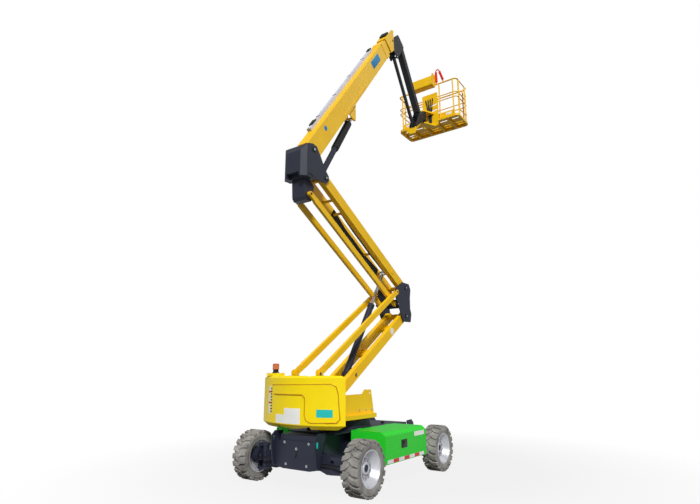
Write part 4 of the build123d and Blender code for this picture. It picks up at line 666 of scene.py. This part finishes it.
class Studio:
    """Camera, lamps, world and floor."""

    focal_px: float = 486.335
    width_px: float = 700.0
    sensor_mm: float = 36.0
    yaw: float = 34.89
    pitch: float = 14.07
    place: Point = (-7.612, -5.298, 1.729)  # from the chassis middle
    lamps: tuple[tuple[str, Point, float, float], ...] = (
        ("key", (-13.0, -10.0, 12.0), 10.0, 2.9),
        ("fill", (-6.0, 14.0, 8.0), 40.0, 0.2),
        ("rim", (12.0, -9.0, 12.0), 30.0, 0.3),
    )  # name, place, angular size in degrees and strength
    sky: Row = (0.95, 0.97, 1.0, 1.0)
    sky_light: float = 0.28
    sky_gloss: float = 0.25
    floor_radius: float = 80.0
    floor_colour: Row = (0.14, 0.135, 0.125, 1.0)
    fade_from: float = 2.6
    fade_to: float = 6.5
    fade_low: float = 0.86

    def __init__(self, middle: float) -> None:
        """Keeps the X of the chassis middle."""
        self.middle = middle

    def camera(self) -> None:
        """Places the camera at the viewing angle."""
        data = bpy.data.cameras.new("camera")
        data.sensor_width = self.sensor_mm
        data.lens = self.focal_px / self.width_px * self.sensor_mm
        data.clip_end = 400.0
        camera = link("camera", data)
        camera.location = (self.place[0] + self.middle, self.place[1], self.place[2])
        camera.rotation_euler = (math.radians(90 + self.pitch), 0.0, math.radians(self.yaw - 90))
        bpy.context.scene.camera = camera

    def lamp(self, name: str, place: Point, spread: float, power: float) -> None:
        """Adds a distant soft lamp that faces the origin and lights the whole height evenly.

        Args:
            name: The lamp's name.
            place: Where it hangs.
            spread: Its angular size in degrees.
            power: Its strength.
        """
        data = bpy.data.lights.new(name, "SUN")
        data.angle = math.radians(spread)
        data.energy = power
        lamp = link(name, data)
        lamp.location = place
        lamp.rotation_euler = (-Vector(place)).to_track_quat("-Z", "Y").to_euler()

    def world(self) -> None:
        """Fills the world with even light and a white background."""
        world = bpy.data.worlds.new("studio")
        bpy.context.scene.world = world
        shader = Shader("studio", world)
        sky = {"Color": self.sky, "Strength": self.sky_light}
        fill = shader.node("ShaderNodeBackground", {}, sky)
        plain = shader.node("ShaderNodeBackground", {}, {"Color": WHITE, "Strength": 1.0})
        seen = shader.seen(self.sky_gloss)
        shader.output(shader.node("ShaderNodeMixShader", {}, {0: seen, 1: fill, 2: plain}))

    def floor(self) -> None:
        """Lays a pale round floor that is white far off and keeps the machine's shadow."""
        work = bmesh.new()
        bmesh.ops.create_circle(work, cap_ends=True, segments=96, radius=self.floor_radius)
        mesh = mesh_of(work, "floor")
        floor = link("floor", mesh)
        shader = Shader("floor white")
        seen = shader.seen(1.0)
        away = shader.node(
            "ShaderNodeVectorMath", {"operation": "LENGTH"}, {0: shader.coords()}, "Value"
        )
        fade = {"Value": away, 1: self.fade_from, 2: self.fade_to, 3: self.fade_low, 4: 1.0}
        far = shader.node("ShaderNodeMapRange", {"clamp": True}, fade, "Result")
        matt = shader.node("ShaderNodeBsdfDiffuse", {}, {"Color": self.floor_colour}, "BSDF")
        glow = shader.node("ShaderNodeEmission", {}, {"Color": WHITE, "Strength": 1.0})
        shader.output(shader.node("ShaderNodeMixShader", {}, {0: seen * far, 1: matt, 2: glow}))
        mesh.materials.append(shader.material)

    def build(self) -> None:
        """Builds the whole studio."""
        bpy.context.scene.view_settings.view_transform = "Standard"
        self.camera()
        self.world()
        self.floor()
        for lamp in self.lamps:
            self.lamp(*lamp)


# ------------------------------------------------------------------ sub-assemblies
@dataclass
class Wheels:
    """Nuts and bead rings of the four wheels."""

    nut_circle: float = 0.124
    nut_radius: float = 0.014
    nuts: int = 10
    bead_radius: float = 0.256
    bead: float = 0.007

    def build(self, machine: Machine) -> None:
        """Fits out each wheel."""
        for end in ("steer", "drive"):
            for side, face in SIDES:
                self._wheel(machine, f"{end}_{side}", face)

    def _wheel(self, machine: Machine, label: str, face: Face) -> None:
        """Fits out the wheel at an end and side, whose outside looks as its face does."""
        skin = machine.skin(f"rim_{label}")
        hub = machine.joints[f"wheel_{label}"]
        turns = [math.tau * (step + 0.5) / self.nuts for step in range(self.nuts)]
        spots = [hub + Vector((math.cos(a), 0.0, math.sin(a))) * self.nut_circle for a in turns]
        nuts = Shape().bolts(skin.seats(spots, face.way), face.way, self.nut_radius)
        nuts.piece(f"wheel_nuts_{label}", f"wheel_{label}", Trim.BOLT)
        low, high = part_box(f"rim_{label}")
        edge = high.y if face is Face.LEFT else low.y
        centre = Vector((hub.x, edge, hub.z)) - face.way * self.bead
        rim = Shape().ring(centre, face.way, self.bead_radius, self.bead, 64)
        rim.piece(f"rim_bead_{label}", f"wheel_{label}", Finish.RIM)


@dataclass
class Chassis:
    """Bolts, latches, reflectors, bands and blank plates of the base."""

    plate_bolts: Spots = ((0.247, 0.685), (-0.247, 0.685), (0.21, 0.366), (-0.21, 0.366))
    plate_bolt: float = 0.014
    beside_latch: tuple[float, float] = (0.08, 0.62)  # Y and Z where the plate's face is found
    boss_z: float = 0.572
    slot_shade_z: float = 0.528
    # Height of the dark block that stands in for the shaded slot below the boss: painted shade.
    tongue_z: float = 0.487
    pin_z: float = 0.6
    reflector: Spots = ((-0.02, 0.645), (0.02, 0.73))
    reflector_x: float = 0.085
    reflector_y: float = 0.45
    band_low: float = 0.372
    band_high: float = 0.425
    band_from: float = -0.64
    band_to: float = 0.6
    band_count: int = 7
    box_y: float = 1.15
    box_latch_x: float = -0.1
    box_latch_z: float = 0.62
    box_plate: Spots = ((0.36, 0.7), (0.72, 0.772))
    post_x: Row = (0.75, -0.9)
    post_y: Row = (-0.22, 0.22)
    deck_z: float = 0.85

    def build(self, machine: Machine) -> None:
        """Fits out the base."""
        self._end_plates(machine)
        for side, face in SIDES:
            self._bands(machine, side, face)
            self._lid(machine, side, face)
        self._deck(machine)

    def _end_plates(self, machine: Machine) -> None:
        """Bolts, a latch with its pin and reflectors on both end plates."""
        for end, face in (("steer", Face.REAR), ("drive", Face.FRONT)):
            node = f"end_plate_{end}"
            skin = machine.skin(node)
            low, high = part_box(node)
            middle = (low.x + high.x) / 2
            spots = [(middle, y, z) for y, z in self.plate_bolts]
            bolts = Shape().bolts(skin.seats(spots, face.way), face.way, self.plate_bolt)
            bolts.piece(f"{node}_bolts", "chassis", Trim.BOLT)
            seat = skin.seat((middle, *self.beside_latch), face.way)
            if seat is not None:
                self._latch(node, seat.x, face)
            x = middle + face.way.x * self.reflector_x
            cheeks = Shape()
            for hand, side in ((-1, Face.RIGHT), (1, Face.LEFT)):
                first, last = ((x + dx, hand * self.reflector_y, z) for dx, z in self.reflector)
                cheeks.sheet(skin, (first, last), side, 0.002, 4)
            cheeks.piece(f"{node}_reflectors", "chassis", Trim.CYAN)

    def _latch(self, node: str, x: float, face: Face) -> None:
        """A latch, a dark block as painted shade of its slot, and its pin in the middle of an end
        plate, on its face at an X.
        """
        latch = Shape()
        boss = Vector((x, 0.0, self.boss_z)) - face.way * 0.004
        latch.disc(boss, face.way, 0.026, 0.008, 28, 0.002)
        # The dark block below the boss is painted shade, standing in for the slot there.
        latch.block(Vector((x, 0.0, self.slot_shade_z)), (0.012, 0.03, 0.075), edge=0.004)
        tongue = Vector((x, 0.012, self.tongue_z)) + face.way * 0.006
        latch.block(tongue, (0.02, 0.014, 0.03), edge=0.004)
        latch.piece(f"{node}_latch", "chassis", Trim.DARK)
        pin = Shape().bolt(Vector((x, 0.0, self.pin_z)), face.way, 0.015)
        pin.piece(f"{node}_latch_pin", "chassis", Trim.BOLT)

    def _bands(self, machine: Machine, side: str, face: Face) -> None:
        """Red and white reflective bands along a battery box."""
        tray = machine.skin(f"battery_tray_{side}")
        y = face.way.y * self.box_y
        step = (self.band_to - self.band_from) / self.band_count
        for colour, first, finish in (("red", 1, Trim.STRIPE), ("white", 0, Trim.SILVER)):
            band = Shape()
            for index in range(first, self.band_count, 2):
                start = machine.middle + self.band_from + index * step
                corners = ((start, y, self.band_low), (start + step, y, self.band_high))
                band.sheet(tray, corners, face, 0.002, 2)
            band.piece(f"band_{colour}_{side}", "chassis", finish)

    def _lid(self, machine: Machine, side: str, face: Face) -> None:
        """Latch and blank plate on a battery box's lid."""
        lid = machine.skin(f"battery_lid_{side}")
        x, y = machine.middle + self.box_latch_x, face.way.y * self.box_y
        spot = lid.seat((x, y, self.box_latch_z), face.way)
        if spot is not None:
            latch = Shape().block(spot + face.way * 0.001, (0.2, 0.004, 0.13), edge=0.0015)
            grip = spot + face.way * 0.006 + Vector((0.01, 0.0, 0.015))
            latch.block(grip, (0.1, 0.012, 0.04), edge=0.004)
            latch.disc(spot + Vector((-0.05, 0.0, -0.03)), face.way, 0.014, 0.008, 20, 0.002)
            latch.piece(f"lid_latch_{side}", f"lid_{side}", Trim.DARK)
        first, last = ((x + dx, y, z) for dx, z in self.box_plate)
        plate = Shape().sheet(lid, (first, last), face, 0.0015, 4)
        plate.piece(f"lid_plate_{side}", f"lid_{side}", Trim.PLATE)

    def _deck(self, machine: Machine) -> None:
        """Lifting eye posts on the deck."""
        skin = machine.skin("chassis_frame")
        spots = [(machine.middle + x, y, self.deck_z) for x in self.post_x for y in self.post_y]
        posts = Shape()
        for seat in skin.seats(spots, Face.UP.way):
            posts.block(seat + Vector((0, 0, 0.018)), (0.09, 0.03, 0.04), edge=0.006)
        posts.piece("deck_posts", "chassis", Trim.DARK)


@dataclass
class Turntable:
    """Hood trim with a line of painted shade, blank plates, vents, beacon ribs with painted
    highlights and slew ring bolts.
    """

    hood_reach: float = 1.6
    plates: tuple[tuple[str, Trim, tuple[Spots, ...]], ...] = (
        (
            "hood_plates", Trim.PLATE,
            (((0.145, 0.98), (0.35, 1.11)), ((-0.18, 0.98), (0.145, 1.21))),
        ),
        ("hood_cyan_plate", Trim.CYAN, (((-0.691, 1.088), (-0.454, 1.203)),)),
    )
    strip_y: tuple[float, float] = (0.53, 0.6)
    strip_z: Row = (1.1, 1.26, 1.29, 1.43, 1.46, 1.54)
    louvres: int = 9
    louvre_y: float = 0.49
    louvre_z: float = 1.14
    louvre_pitch: float = 0.045
    door_corner: float = 0.05
    seam_shade_radius: float = 0.009
    seam_shade_step: float = 0.06
    door: Spots = (
        (0.47, 1.415), (0.47, 1.558), (-0.712, 1.575), (-0.752, 1.5),
        (-0.788, 1.016), (-0.325, 1.004), (-0.262, 1.06), (-0.262, 1.415),
    )
    beacon_bolts: Spots = ((-0.06, -0.1), (0.06, -0.1), (-0.06, 0.1), (0.06, 0.1))
    beacon_rib_highlights: int = 4
    rib_foot: float = 0.016
    rib_pitch: float = 0.018
    ring_bolts: int = 36
    ring_radius: float = 0.33
    base_top: float = 1.1
    flank_x: Row = (-0.3, -0.1, 0.08)
    flank_z: float = 1.12

    def build(self, machine: Machine) -> None:
        """Fits out the turntable."""
        self._hood(machine)
        self._beacon(machine)
        self._ring(machine)
        self._flank(machine)

    def _hood(self, machine: Machine) -> None:
        """Plates, a striped strip, a darker ochre line of painted shade along the door's seam, and
        louvres on the rear of the hood.
        """
        skin = machine.skin("tail_hood")
        x = machine.middle - self.hood_reach
        for name, finish, areas in self.plates:
            plates = Shape()
            for first, last in areas:
                plates.sheet(skin, ((x, *first), (x, *last)), Face.REAR)
            plates.piece(name, "turntable", finish)
        near, far = self.strip_y
        strip, marks = Shape(), Shape()
        for index, (low, high) in enumerate(zip(self.strip_z, self.strip_z[1:])):
            band = marks if index % 2 else strip
            band.sheet(skin, ((x, near, low), (x, far, high)), Face.REAR, 0.002, 4)
        strip.piece("hood_strip", "turntable", Trim.SILVER)
        marks.piece("hood_strip_marks", "turntable", Trim.STRIPE)
        self._seam(skin, x)
        levels = (self.louvre_z + index * self.louvre_pitch for index in range(self.louvres))
        louvres = Shape()
        for spot in skin.seats([(x, self.louvre_y, z) for z in levels], Face.REAR.way):
            louvres.block(spot, (0.008, 0.05, 0.018), edge=0.003)
        louvres.piece("hood_louvres", "turntable", Trim.DARK)

    def _seam(self, skin: Skin, x: float) -> None:
        """Lays a darker ochre tube round the rear door's outline, from an X behind it, with cut
        corners, as painted shade in the groove there.
        """
        corners = [Vector((x, y, z)) for y, z in self.door]
        cuts = []
        for index, corner in enumerate(corners):
            for other in (corners[index - 1], corners[(index + 1) % len(corners)]):
                edge = other - corner
                cuts.append(corner + edge.normalized() * min(self.door_corner, edge.length / 2))
        route = [corners[1], *cuts[3:], corners[0]]
        spots = []
        for first, last in zip(route, route[1:]):
            steps = max(1, int((last - first).length / self.seam_shade_step))
            line = [first.lerp(last, step / steps) for step in range(steps)]
            spots += skin.seats(line, Face.REAR.way)
        # The tube is painted shade: a darker ochre line where the groove round the door falls into
        # shadow.
        seam = Shape()
        for first, last in zip(spots, spots[1:]):
            along = last - first
            if 0.0 < along.length < 0.1:
                seam.disc(first, along.normalized(), self.seam_shade_radius, along.length, 8)
        seam.piece("hood_seam_shade", "turntable", Trim.SEAM_SHADE)

    def _beacon(self, machine: Machine) -> None:
        """Ribs round the beacon's lens, lighter than it as painted highlights, and bolts on its
        bracket.
        """
        low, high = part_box("beacon_lens")
        middle = (low + high) / 2
        # The rings are painted highlights: lighter bands across the lens.
        ribs = Shape()
        radius = (high.x - low.x) / 2
        for index in range(self.beacon_rib_highlights):
            z = low.z + self.rib_foot + index * self.rib_pitch
            ribs.ring(Vector((middle.x, middle.y, z)), Face.UP.way, radius - 0.001, 0.004)
        ribs.piece("beacon_rib_highlights", "turntable", Trim.RIB_HIGHLIGHT)
        skin = machine.skin("beacon_mount")
        spots = [(middle.x + dx, middle.y + dy, middle.z) for dx, dy in self.beacon_bolts]
        bolts = Shape().bolts(skin.seats(spots, Face.UP.way), Face.UP.way, 0.008)
        bolts.piece("beacon_bolts", "turntable", Trim.BOLT)

    def _ring(self, machine: Machine) -> None:
        """Bolt heads round the top of the turntable's base."""
        middle = machine.joints["slew"]
        skin = machine.skin("turntable_frame")
        turns = [math.tau * step / self.ring_bolts for step in range(self.ring_bolts)]
        radius, z = self.ring_radius, self.base_top + 0.1
        spots = [(middle.x + radius * math.cos(a), radius * math.sin(a), z) for a in turns]
        seats = [seat for seat in skin.seats(spots, Face.UP.way, 0.3) if seat.z < self.base_top]
        bolts = Shape().bolts(seats, Face.UP.way, 0.011)
        bolts.piece("slew_bolts", "turntable", Trim.BOLT)

    def _flank(self, machine: Machine) -> None:
        """Bolts on the frame's side plates."""
        skin = machine.skin("turntable_sides")
        for side, face in SIDES:
            y = face.way.y * 0.5
            spots = [(machine.middle + x, y, self.flank_z) for x in self.flank_x]
            bolts = Shape().bolts(skin.seats(spots, face.way), face.way, 0.012)
            bolts.piece(f"frame_bolts_{side}", "turntable", Trim.BOLT)


@dataclass
class Pins:
    """Retaining caps on the ends of the machine's pins."""

    pins: tuple[tuple[str, tuple[str, ...], str, float], ...] = (
        ("riser_lift", ("riser_pin", "turntable_sides"), "turntable", 0.042),
        ("lower_tie", ("turntable_sides", "lower_ties"), "turntable", 0.024),
        ("mid_knuckle_level", ("mid_knuckle", "lower_arm"), "mid_knuckle", 0.04),
        ("upper_arm", ("mid_knuckle", "upper_arm"), "mid_knuckle", 0.04),
        ("upper_tie", ("mid_knuckle",), "mid_knuckle", 0.028),
        ("top_knuckle_level", ("top_knuckle", "upper_arm"), "top_knuckle", 0.04),
        ("boom_lift", ("top_knuckle",), "top_knuckle", 0.044),
        ("lift_cylinder_swing", ("top_knuckle",), "top_knuckle", 0.03),
        ("riser_cylinder_swing", ("lower_arm",), "lower_arm", 0.03),
        ("platform_level", ("boom_tip",), "boom_tip", 0.03),
        ("jib_lift", ("jib_head",), "jib_head", 0.03),
        ("jib_link", ("jib_head",), "jib_head", 0.024),
        ("jib_level", ("rotator",), "rotator", 0.026),
    )  # joint, nodes that the caps lie on, body and radius

    def build(self, machine: Machine) -> None:
        """Caps each pin on both sides."""
        for joint, nodes, body, radius in self.pins:
            skin = machine.skin(*nodes)
            place = machine.joints[joint]
            spots = [(face.way, skin.seat((place.x, 0.0, place.z), face.way)) for _, face in SIDES]
            seats = [(way, seat) for way, seat in spots if seat is not None]
            if not seats:
                continue
            caps, bolts = Shape(), Shape()
            for way, seat in seats:
                caps.disc(seat - way * 0.001, way, radius, 0.006, 32, 0.0015)
                bolts.bolt(seat + way * 0.005, way, radius * 0.32)
            caps.piece(f"pin_caps_{joint}", body, Trim.DARK)
            bolts.piece(f"pin_bolts_{joint}", body, Trim.BOLT)


@dataclass
class Arms:
    """Hose loom and blank disc of the riser's arms, and the lift cylinder's bellows."""

    hose_radius: float = 0.021
    loom: tuple[Point, ...] = (
        (-0.103, -0.025, 0.8), (-0.103, -0.055, 0.6), (-0.103, -0.085, 0.3),
        (0.103, -0.025, 0.8), (0.103, -0.055, 0.6), (0.103, -0.085, 0.3),
    )  # Y, height beside the pins' line and share of the sag
    stations: Spots = (
        (0.2, 0.06), (0.3, 0.02), (0.4, -0.03), (0.5, 0.0), (0.6, -0.02), (0.7, 0.04),
        (0.76, 0.09),
    )
    disc_at: float = 0.788
    disc_radius: float = 0.07
    ribs: int = 22
    rib: float = 0.007
    ribbed: float = 0.86

    def build(self, machine: Machine) -> None:
        """Fits out the arms."""
        self._upper_hoses(machine)
        way = Face.RIGHT.way
        spot = machine.along("riser_lift", "mid_knuckle_level", self.disc_at, 0.0, 0.0)
        for seat in machine.skin("lower_arm").seats([spot], way):
            disc = Shape().disc(seat - way * 0.0005, way, self.disc_radius, 0.002, 40)
            disc.piece("lower_arm_disc", "lower_arm", Trim.PLATE)
        self._bellows(machine)

    def _upper_hoses(self, machine: Machine) -> None:
        """A loom of hoses that hangs on the upper arm's cross bars."""
        for index, (y, lift, sag) in enumerate(self.loom):
            route = [
                machine.along("upper_arm", "top_knuckle_level", part, lift + off * sag, y)
                for part, off in self.stations
            ]
            pipe(f"upper_hose_{index}", "upper_arm", route, self.hose_radius, Trim.HOSE)

    def _bellows(self, machine: Machine) -> None:
        """Ribs round the rubber sleeve of the lift cylinder's rod."""
        low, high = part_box("lift_cylinder_sleeve")
        radius = (high.y - low.y) / 2
        way = machine.axis("lift_cylinder_stroke")
        middle = (low + high) / 2
        half = ((high - low).length / 2) * self.ribbed
        ribs = Shape()
        for step in range(self.ribs + 1):
            spot = middle + way * (half * (2 * step / self.ribs - 1))
            ribs.ring(Vector((spot.x, 0.0, spot.z)), way, radius - self.rib, self.rib, 36)
        ribs.piece("sleeve_ribs", "lift_rod", Finish.BELLOWS)


@dataclass
class Boom:
    """Blank plates, channel clips, channel end covers and tip cover of the main boom."""

    plate_at: tuple[float, float] = (3.97, -0.03)
    plate_size: Point = (0.52, 0.003, 0.17)
    disc_at: float = 0.829
    disc_radius: float = 0.05
    clips: Row = (0.12, 0.34, 1.1, 2.0, 2.9, 3.8, 4.3)
    covers: Spots = ((0.84, 0.2), (4.3, 0.16))
    channel_y: float = 0.08
    cover_in: float = 0.048
    tip_at: float = 5.26

    def build(self, machine: Machine) -> None:
        """Fits out the boom."""
        self._plates(machine)
        self._channel(machine)
        up = machine.boom_up
        for found in machine.skin("boom_tip").seats([machine.on_boom(self.tip_at)], up, 0.8):
            cap = Shape().block(found + up * 0.02, (0.2, 0.19, 0.05), machine.boom_turn, 0.01)
            for y in (-0.05, 0.05):
                cap.bolt(found + up * 0.045 + Vector((0, y, 0)), up, 0.008)
            cap.piece("tip_cover", "boom_tip", Trim.DARK)

    def _plates(self, machine: Machine) -> None:
        """A blank plate and a blank disc on the boom's right flank."""
        skin = machine.skin("boom_base")
        way = Face.RIGHT.way
        for seat in skin.seats([machine.on_boom(*self.plate_at)], way):
            plate = Shape().block(seat + way * 0.001, self.plate_size, machine.boom_turn, 0.001)
            plate.piece("boom_blue_plate", "boom", Trim.BLUE)
        for seat in skin.seats([machine.on_boom(self.disc_at)], way):
            disc = Shape().disc(seat - way * 0.0005, way, self.disc_radius, 0.002, 40)
            disc.piece("boom_disc", "boom", Trim.BLUE)

    def _channel(self, machine: Machine) -> None:
        """Clips along the hose channel and a cover over each end."""
        skin = machine.skin("hose_tray")
        up, turn = machine.boom_up, machine.boom_turn
        clips, covers = Shape(), Shape()
        spots = [machine.on_boom(part, 0.1, self.channel_y) for part in self.clips]
        for found in skin.seats(spots, up, 0.5):
            clips.block(found + up * 0.001, (0.03, 0.09, 0.004), turn, 0.001)
        clips.piece("tray_clips", "boom", Trim.DARK)
        low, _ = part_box("hose_tray")
        inward = Vector((0, low.y - self.channel_y + self.cover_in, 0))
        for part, long in self.covers:
            for found in skin.seats([machine.on_boom(part, 0.2, self.channel_y)], up, 0.5):
                covers.block(found + up * 0.006 + inward, (long, 0.09, 0.03), turn, 0.008)
        covers.piece("tray_end_covers", "boom", Trim.DARK)


@dataclass
class Platform:
    """Controls, hoses, guard sleeves and blank plates of the platform."""

    toe_plate_y: Row = (-0.62, 0.62)
    toe_plate_z: float = 0.08
    sleeve_parts: Row = (0.0, 0.35, 0.7, 1.0)
    sleeve_radius: float = 0.034
    controls_in: float = 0.06
    levers: Row = (-0.14, 0.1, 0.24)
    buttons: int = 8
    button_in: float = 0.07
    button_y: float = -0.18
    button_pitch: float = 0.06
    stop_y: float = -0.02
    face_bolts: Spots = ((-0.2, 0.08), (0.3, 0.08), (-0.2, 0.16), (0.3, 0.16))
    hoses: Spots = ((-0.13, -0.09), (-0.11, -0.02), (-0.09, 0.05), (-0.07, 0.12))
    hose_parts: Row = (0.12, 0.3, 0.48, 0.66, 0.84)
    hose_radius: float = 0.015

    def build(self, machine: Machine) -> None:
        """Fits out the platform."""
        self._console(machine)
        self._hoses(machine)
        self._guard()
        skin = machine.skin("platform_rails")
        low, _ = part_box("platform_rails")
        spots = [(low.x, y, low.z + self.toe_plate_z) for y in self.toe_plate_y]
        plates = Shape()
        for seat in skin.seats(spots, Face.REAR.way, 0.5):
            if seat.x < low.x + 0.05:
                plates.block(seat, (0.003, 0.16, 0.07), edge=0.001)
        plates.piece("toe_board_plates", "platform", Trim.PLATE)

    def _guard(self) -> None:
        """Foam sleeves on the straight runs of the guard tube."""
        low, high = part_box("guard_tube")
        x = (low.x + high.x) / 2
        near, far = high.y - 0.024, low.y + 0.015
        runs = (
            ((near, low.z + 0.06), (near + 0.007, high.z - 0.09)),
            ((far + 0.015, low.z + 0.08), (far + 0.1, high.z - 0.1)),
        )
        for index, ((y0, z0), (y1, z1)) in enumerate(runs):
            route = [
                Vector((x, y0 + (y1 - y0) * part, z0 + (z1 - z0) * part))
                for part in self.sleeve_parts
            ]
            pipe(f"guard_sleeve_{index}", "platform", route, self.sleeve_radius, Trim.PAD)

    def _console(self, machine: Machine) -> None:
        """Levers, knobs and buttons on the control console."""
        skin = machine.skin("control_console")
        low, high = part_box("control_console")
        up = Face.UP.way
        x = high.x - self.controls_in
        knobs, buttons = Shape(), Shape()
        for seat in skin.seats([(x, y, high.z) for y in self.levers], up, 0.3):
            knobs.disc(seat - up * 0.001, up, 0.03, 0.01, 32, 0.003)
            knobs.disc(seat + up * 0.005, up, 0.009, 0.03, 20)
        row = [self.button_y + index * self.button_pitch for index in range(self.buttons)]
        for seat in skin.seats([(x - self.button_in, y, high.z) for y in row], up, 0.3):
            buttons.disc(seat - up * 0.002, up, 0.009, 0.009, 20, 0.002)
        knobs.piece("console_levers", "platform", Trim.DARK)
        buttons.piece("console_buttons", "platform", Trim.PLATE)
        for seat in skin.seats([(x, self.stop_y, high.z)], up, 0.3):
            stop = Shape().disc(seat - up * 0.002, up, 0.022, 0.02, 32, 0.005)
            stop.piece("console_stop_knob", "platform", Trim.KNOB)
        spots = [(low.x, y, low.z + z) for y, z in self.face_bolts]
        rear = Face.REAR.way
        bolts = Shape().bolts(skin.seats(spots, rear, 0.3), rear, 0.007)
        bolts.piece("console_bolts", "platform", Trim.BOLT)

    def _hoses(self, machine: Machine) -> None:
        """Hoses clamped to the rear of the mounting panel."""
        skin = machine.skin("platform_mount")
        low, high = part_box("platform_mount")
        for index, (y, sway) in enumerate(self.hoses):
            route = []
            for part in self.hose_parts:
                z = low.z + (high.z - low.z) * part
                seat = skin.seat((high.x, y + sway * part * part, z), Face.REAR.way, 0.6)
                if seat is not None:
                    route.append(seat + Face.REAR.way * 0.016)
            if len(route) > 2:
                pipe(f"panel_hose_{index}", "platform", route, self.hose_radius, Trim.HOSE)


def dress_nodes(frame: dict[str, Any]) -> None:
    """Gives each CAD node of the loaded frame the finish of its slot."""
    finishes = {finish.value[0]: finish for finish in Finish}
    for row in frame["record"]["subparts"]:
        mesh = frame["nodes"][row["node"]].data
        mesh.materials.clear()
        finish = Finish.BLACK if row["node"] in BLACK_NODES else finishes[row["material_slot"]]
        mesh.materials.append(coat(finish))
        LOG.info("%s wears %s", row["node"], row["material_slot"])


def main() -> None:
    """Builds the studio, dresses the machine and fits it out."""
    logging.basicConfig(level=logging.INFO)
    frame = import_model()
    machine = Machine(frame)
    Studio(machine.middle).build()
    dress_nodes(frame)
    for assembly in (Wheels(), Chassis(), Turntable(), Pins(), Arms(), Boom(), Platform()):
        LOG.info("building %s", type(assembly).__name__)
        assembly.build(machine)


if __name__ == "__main__":
    main()
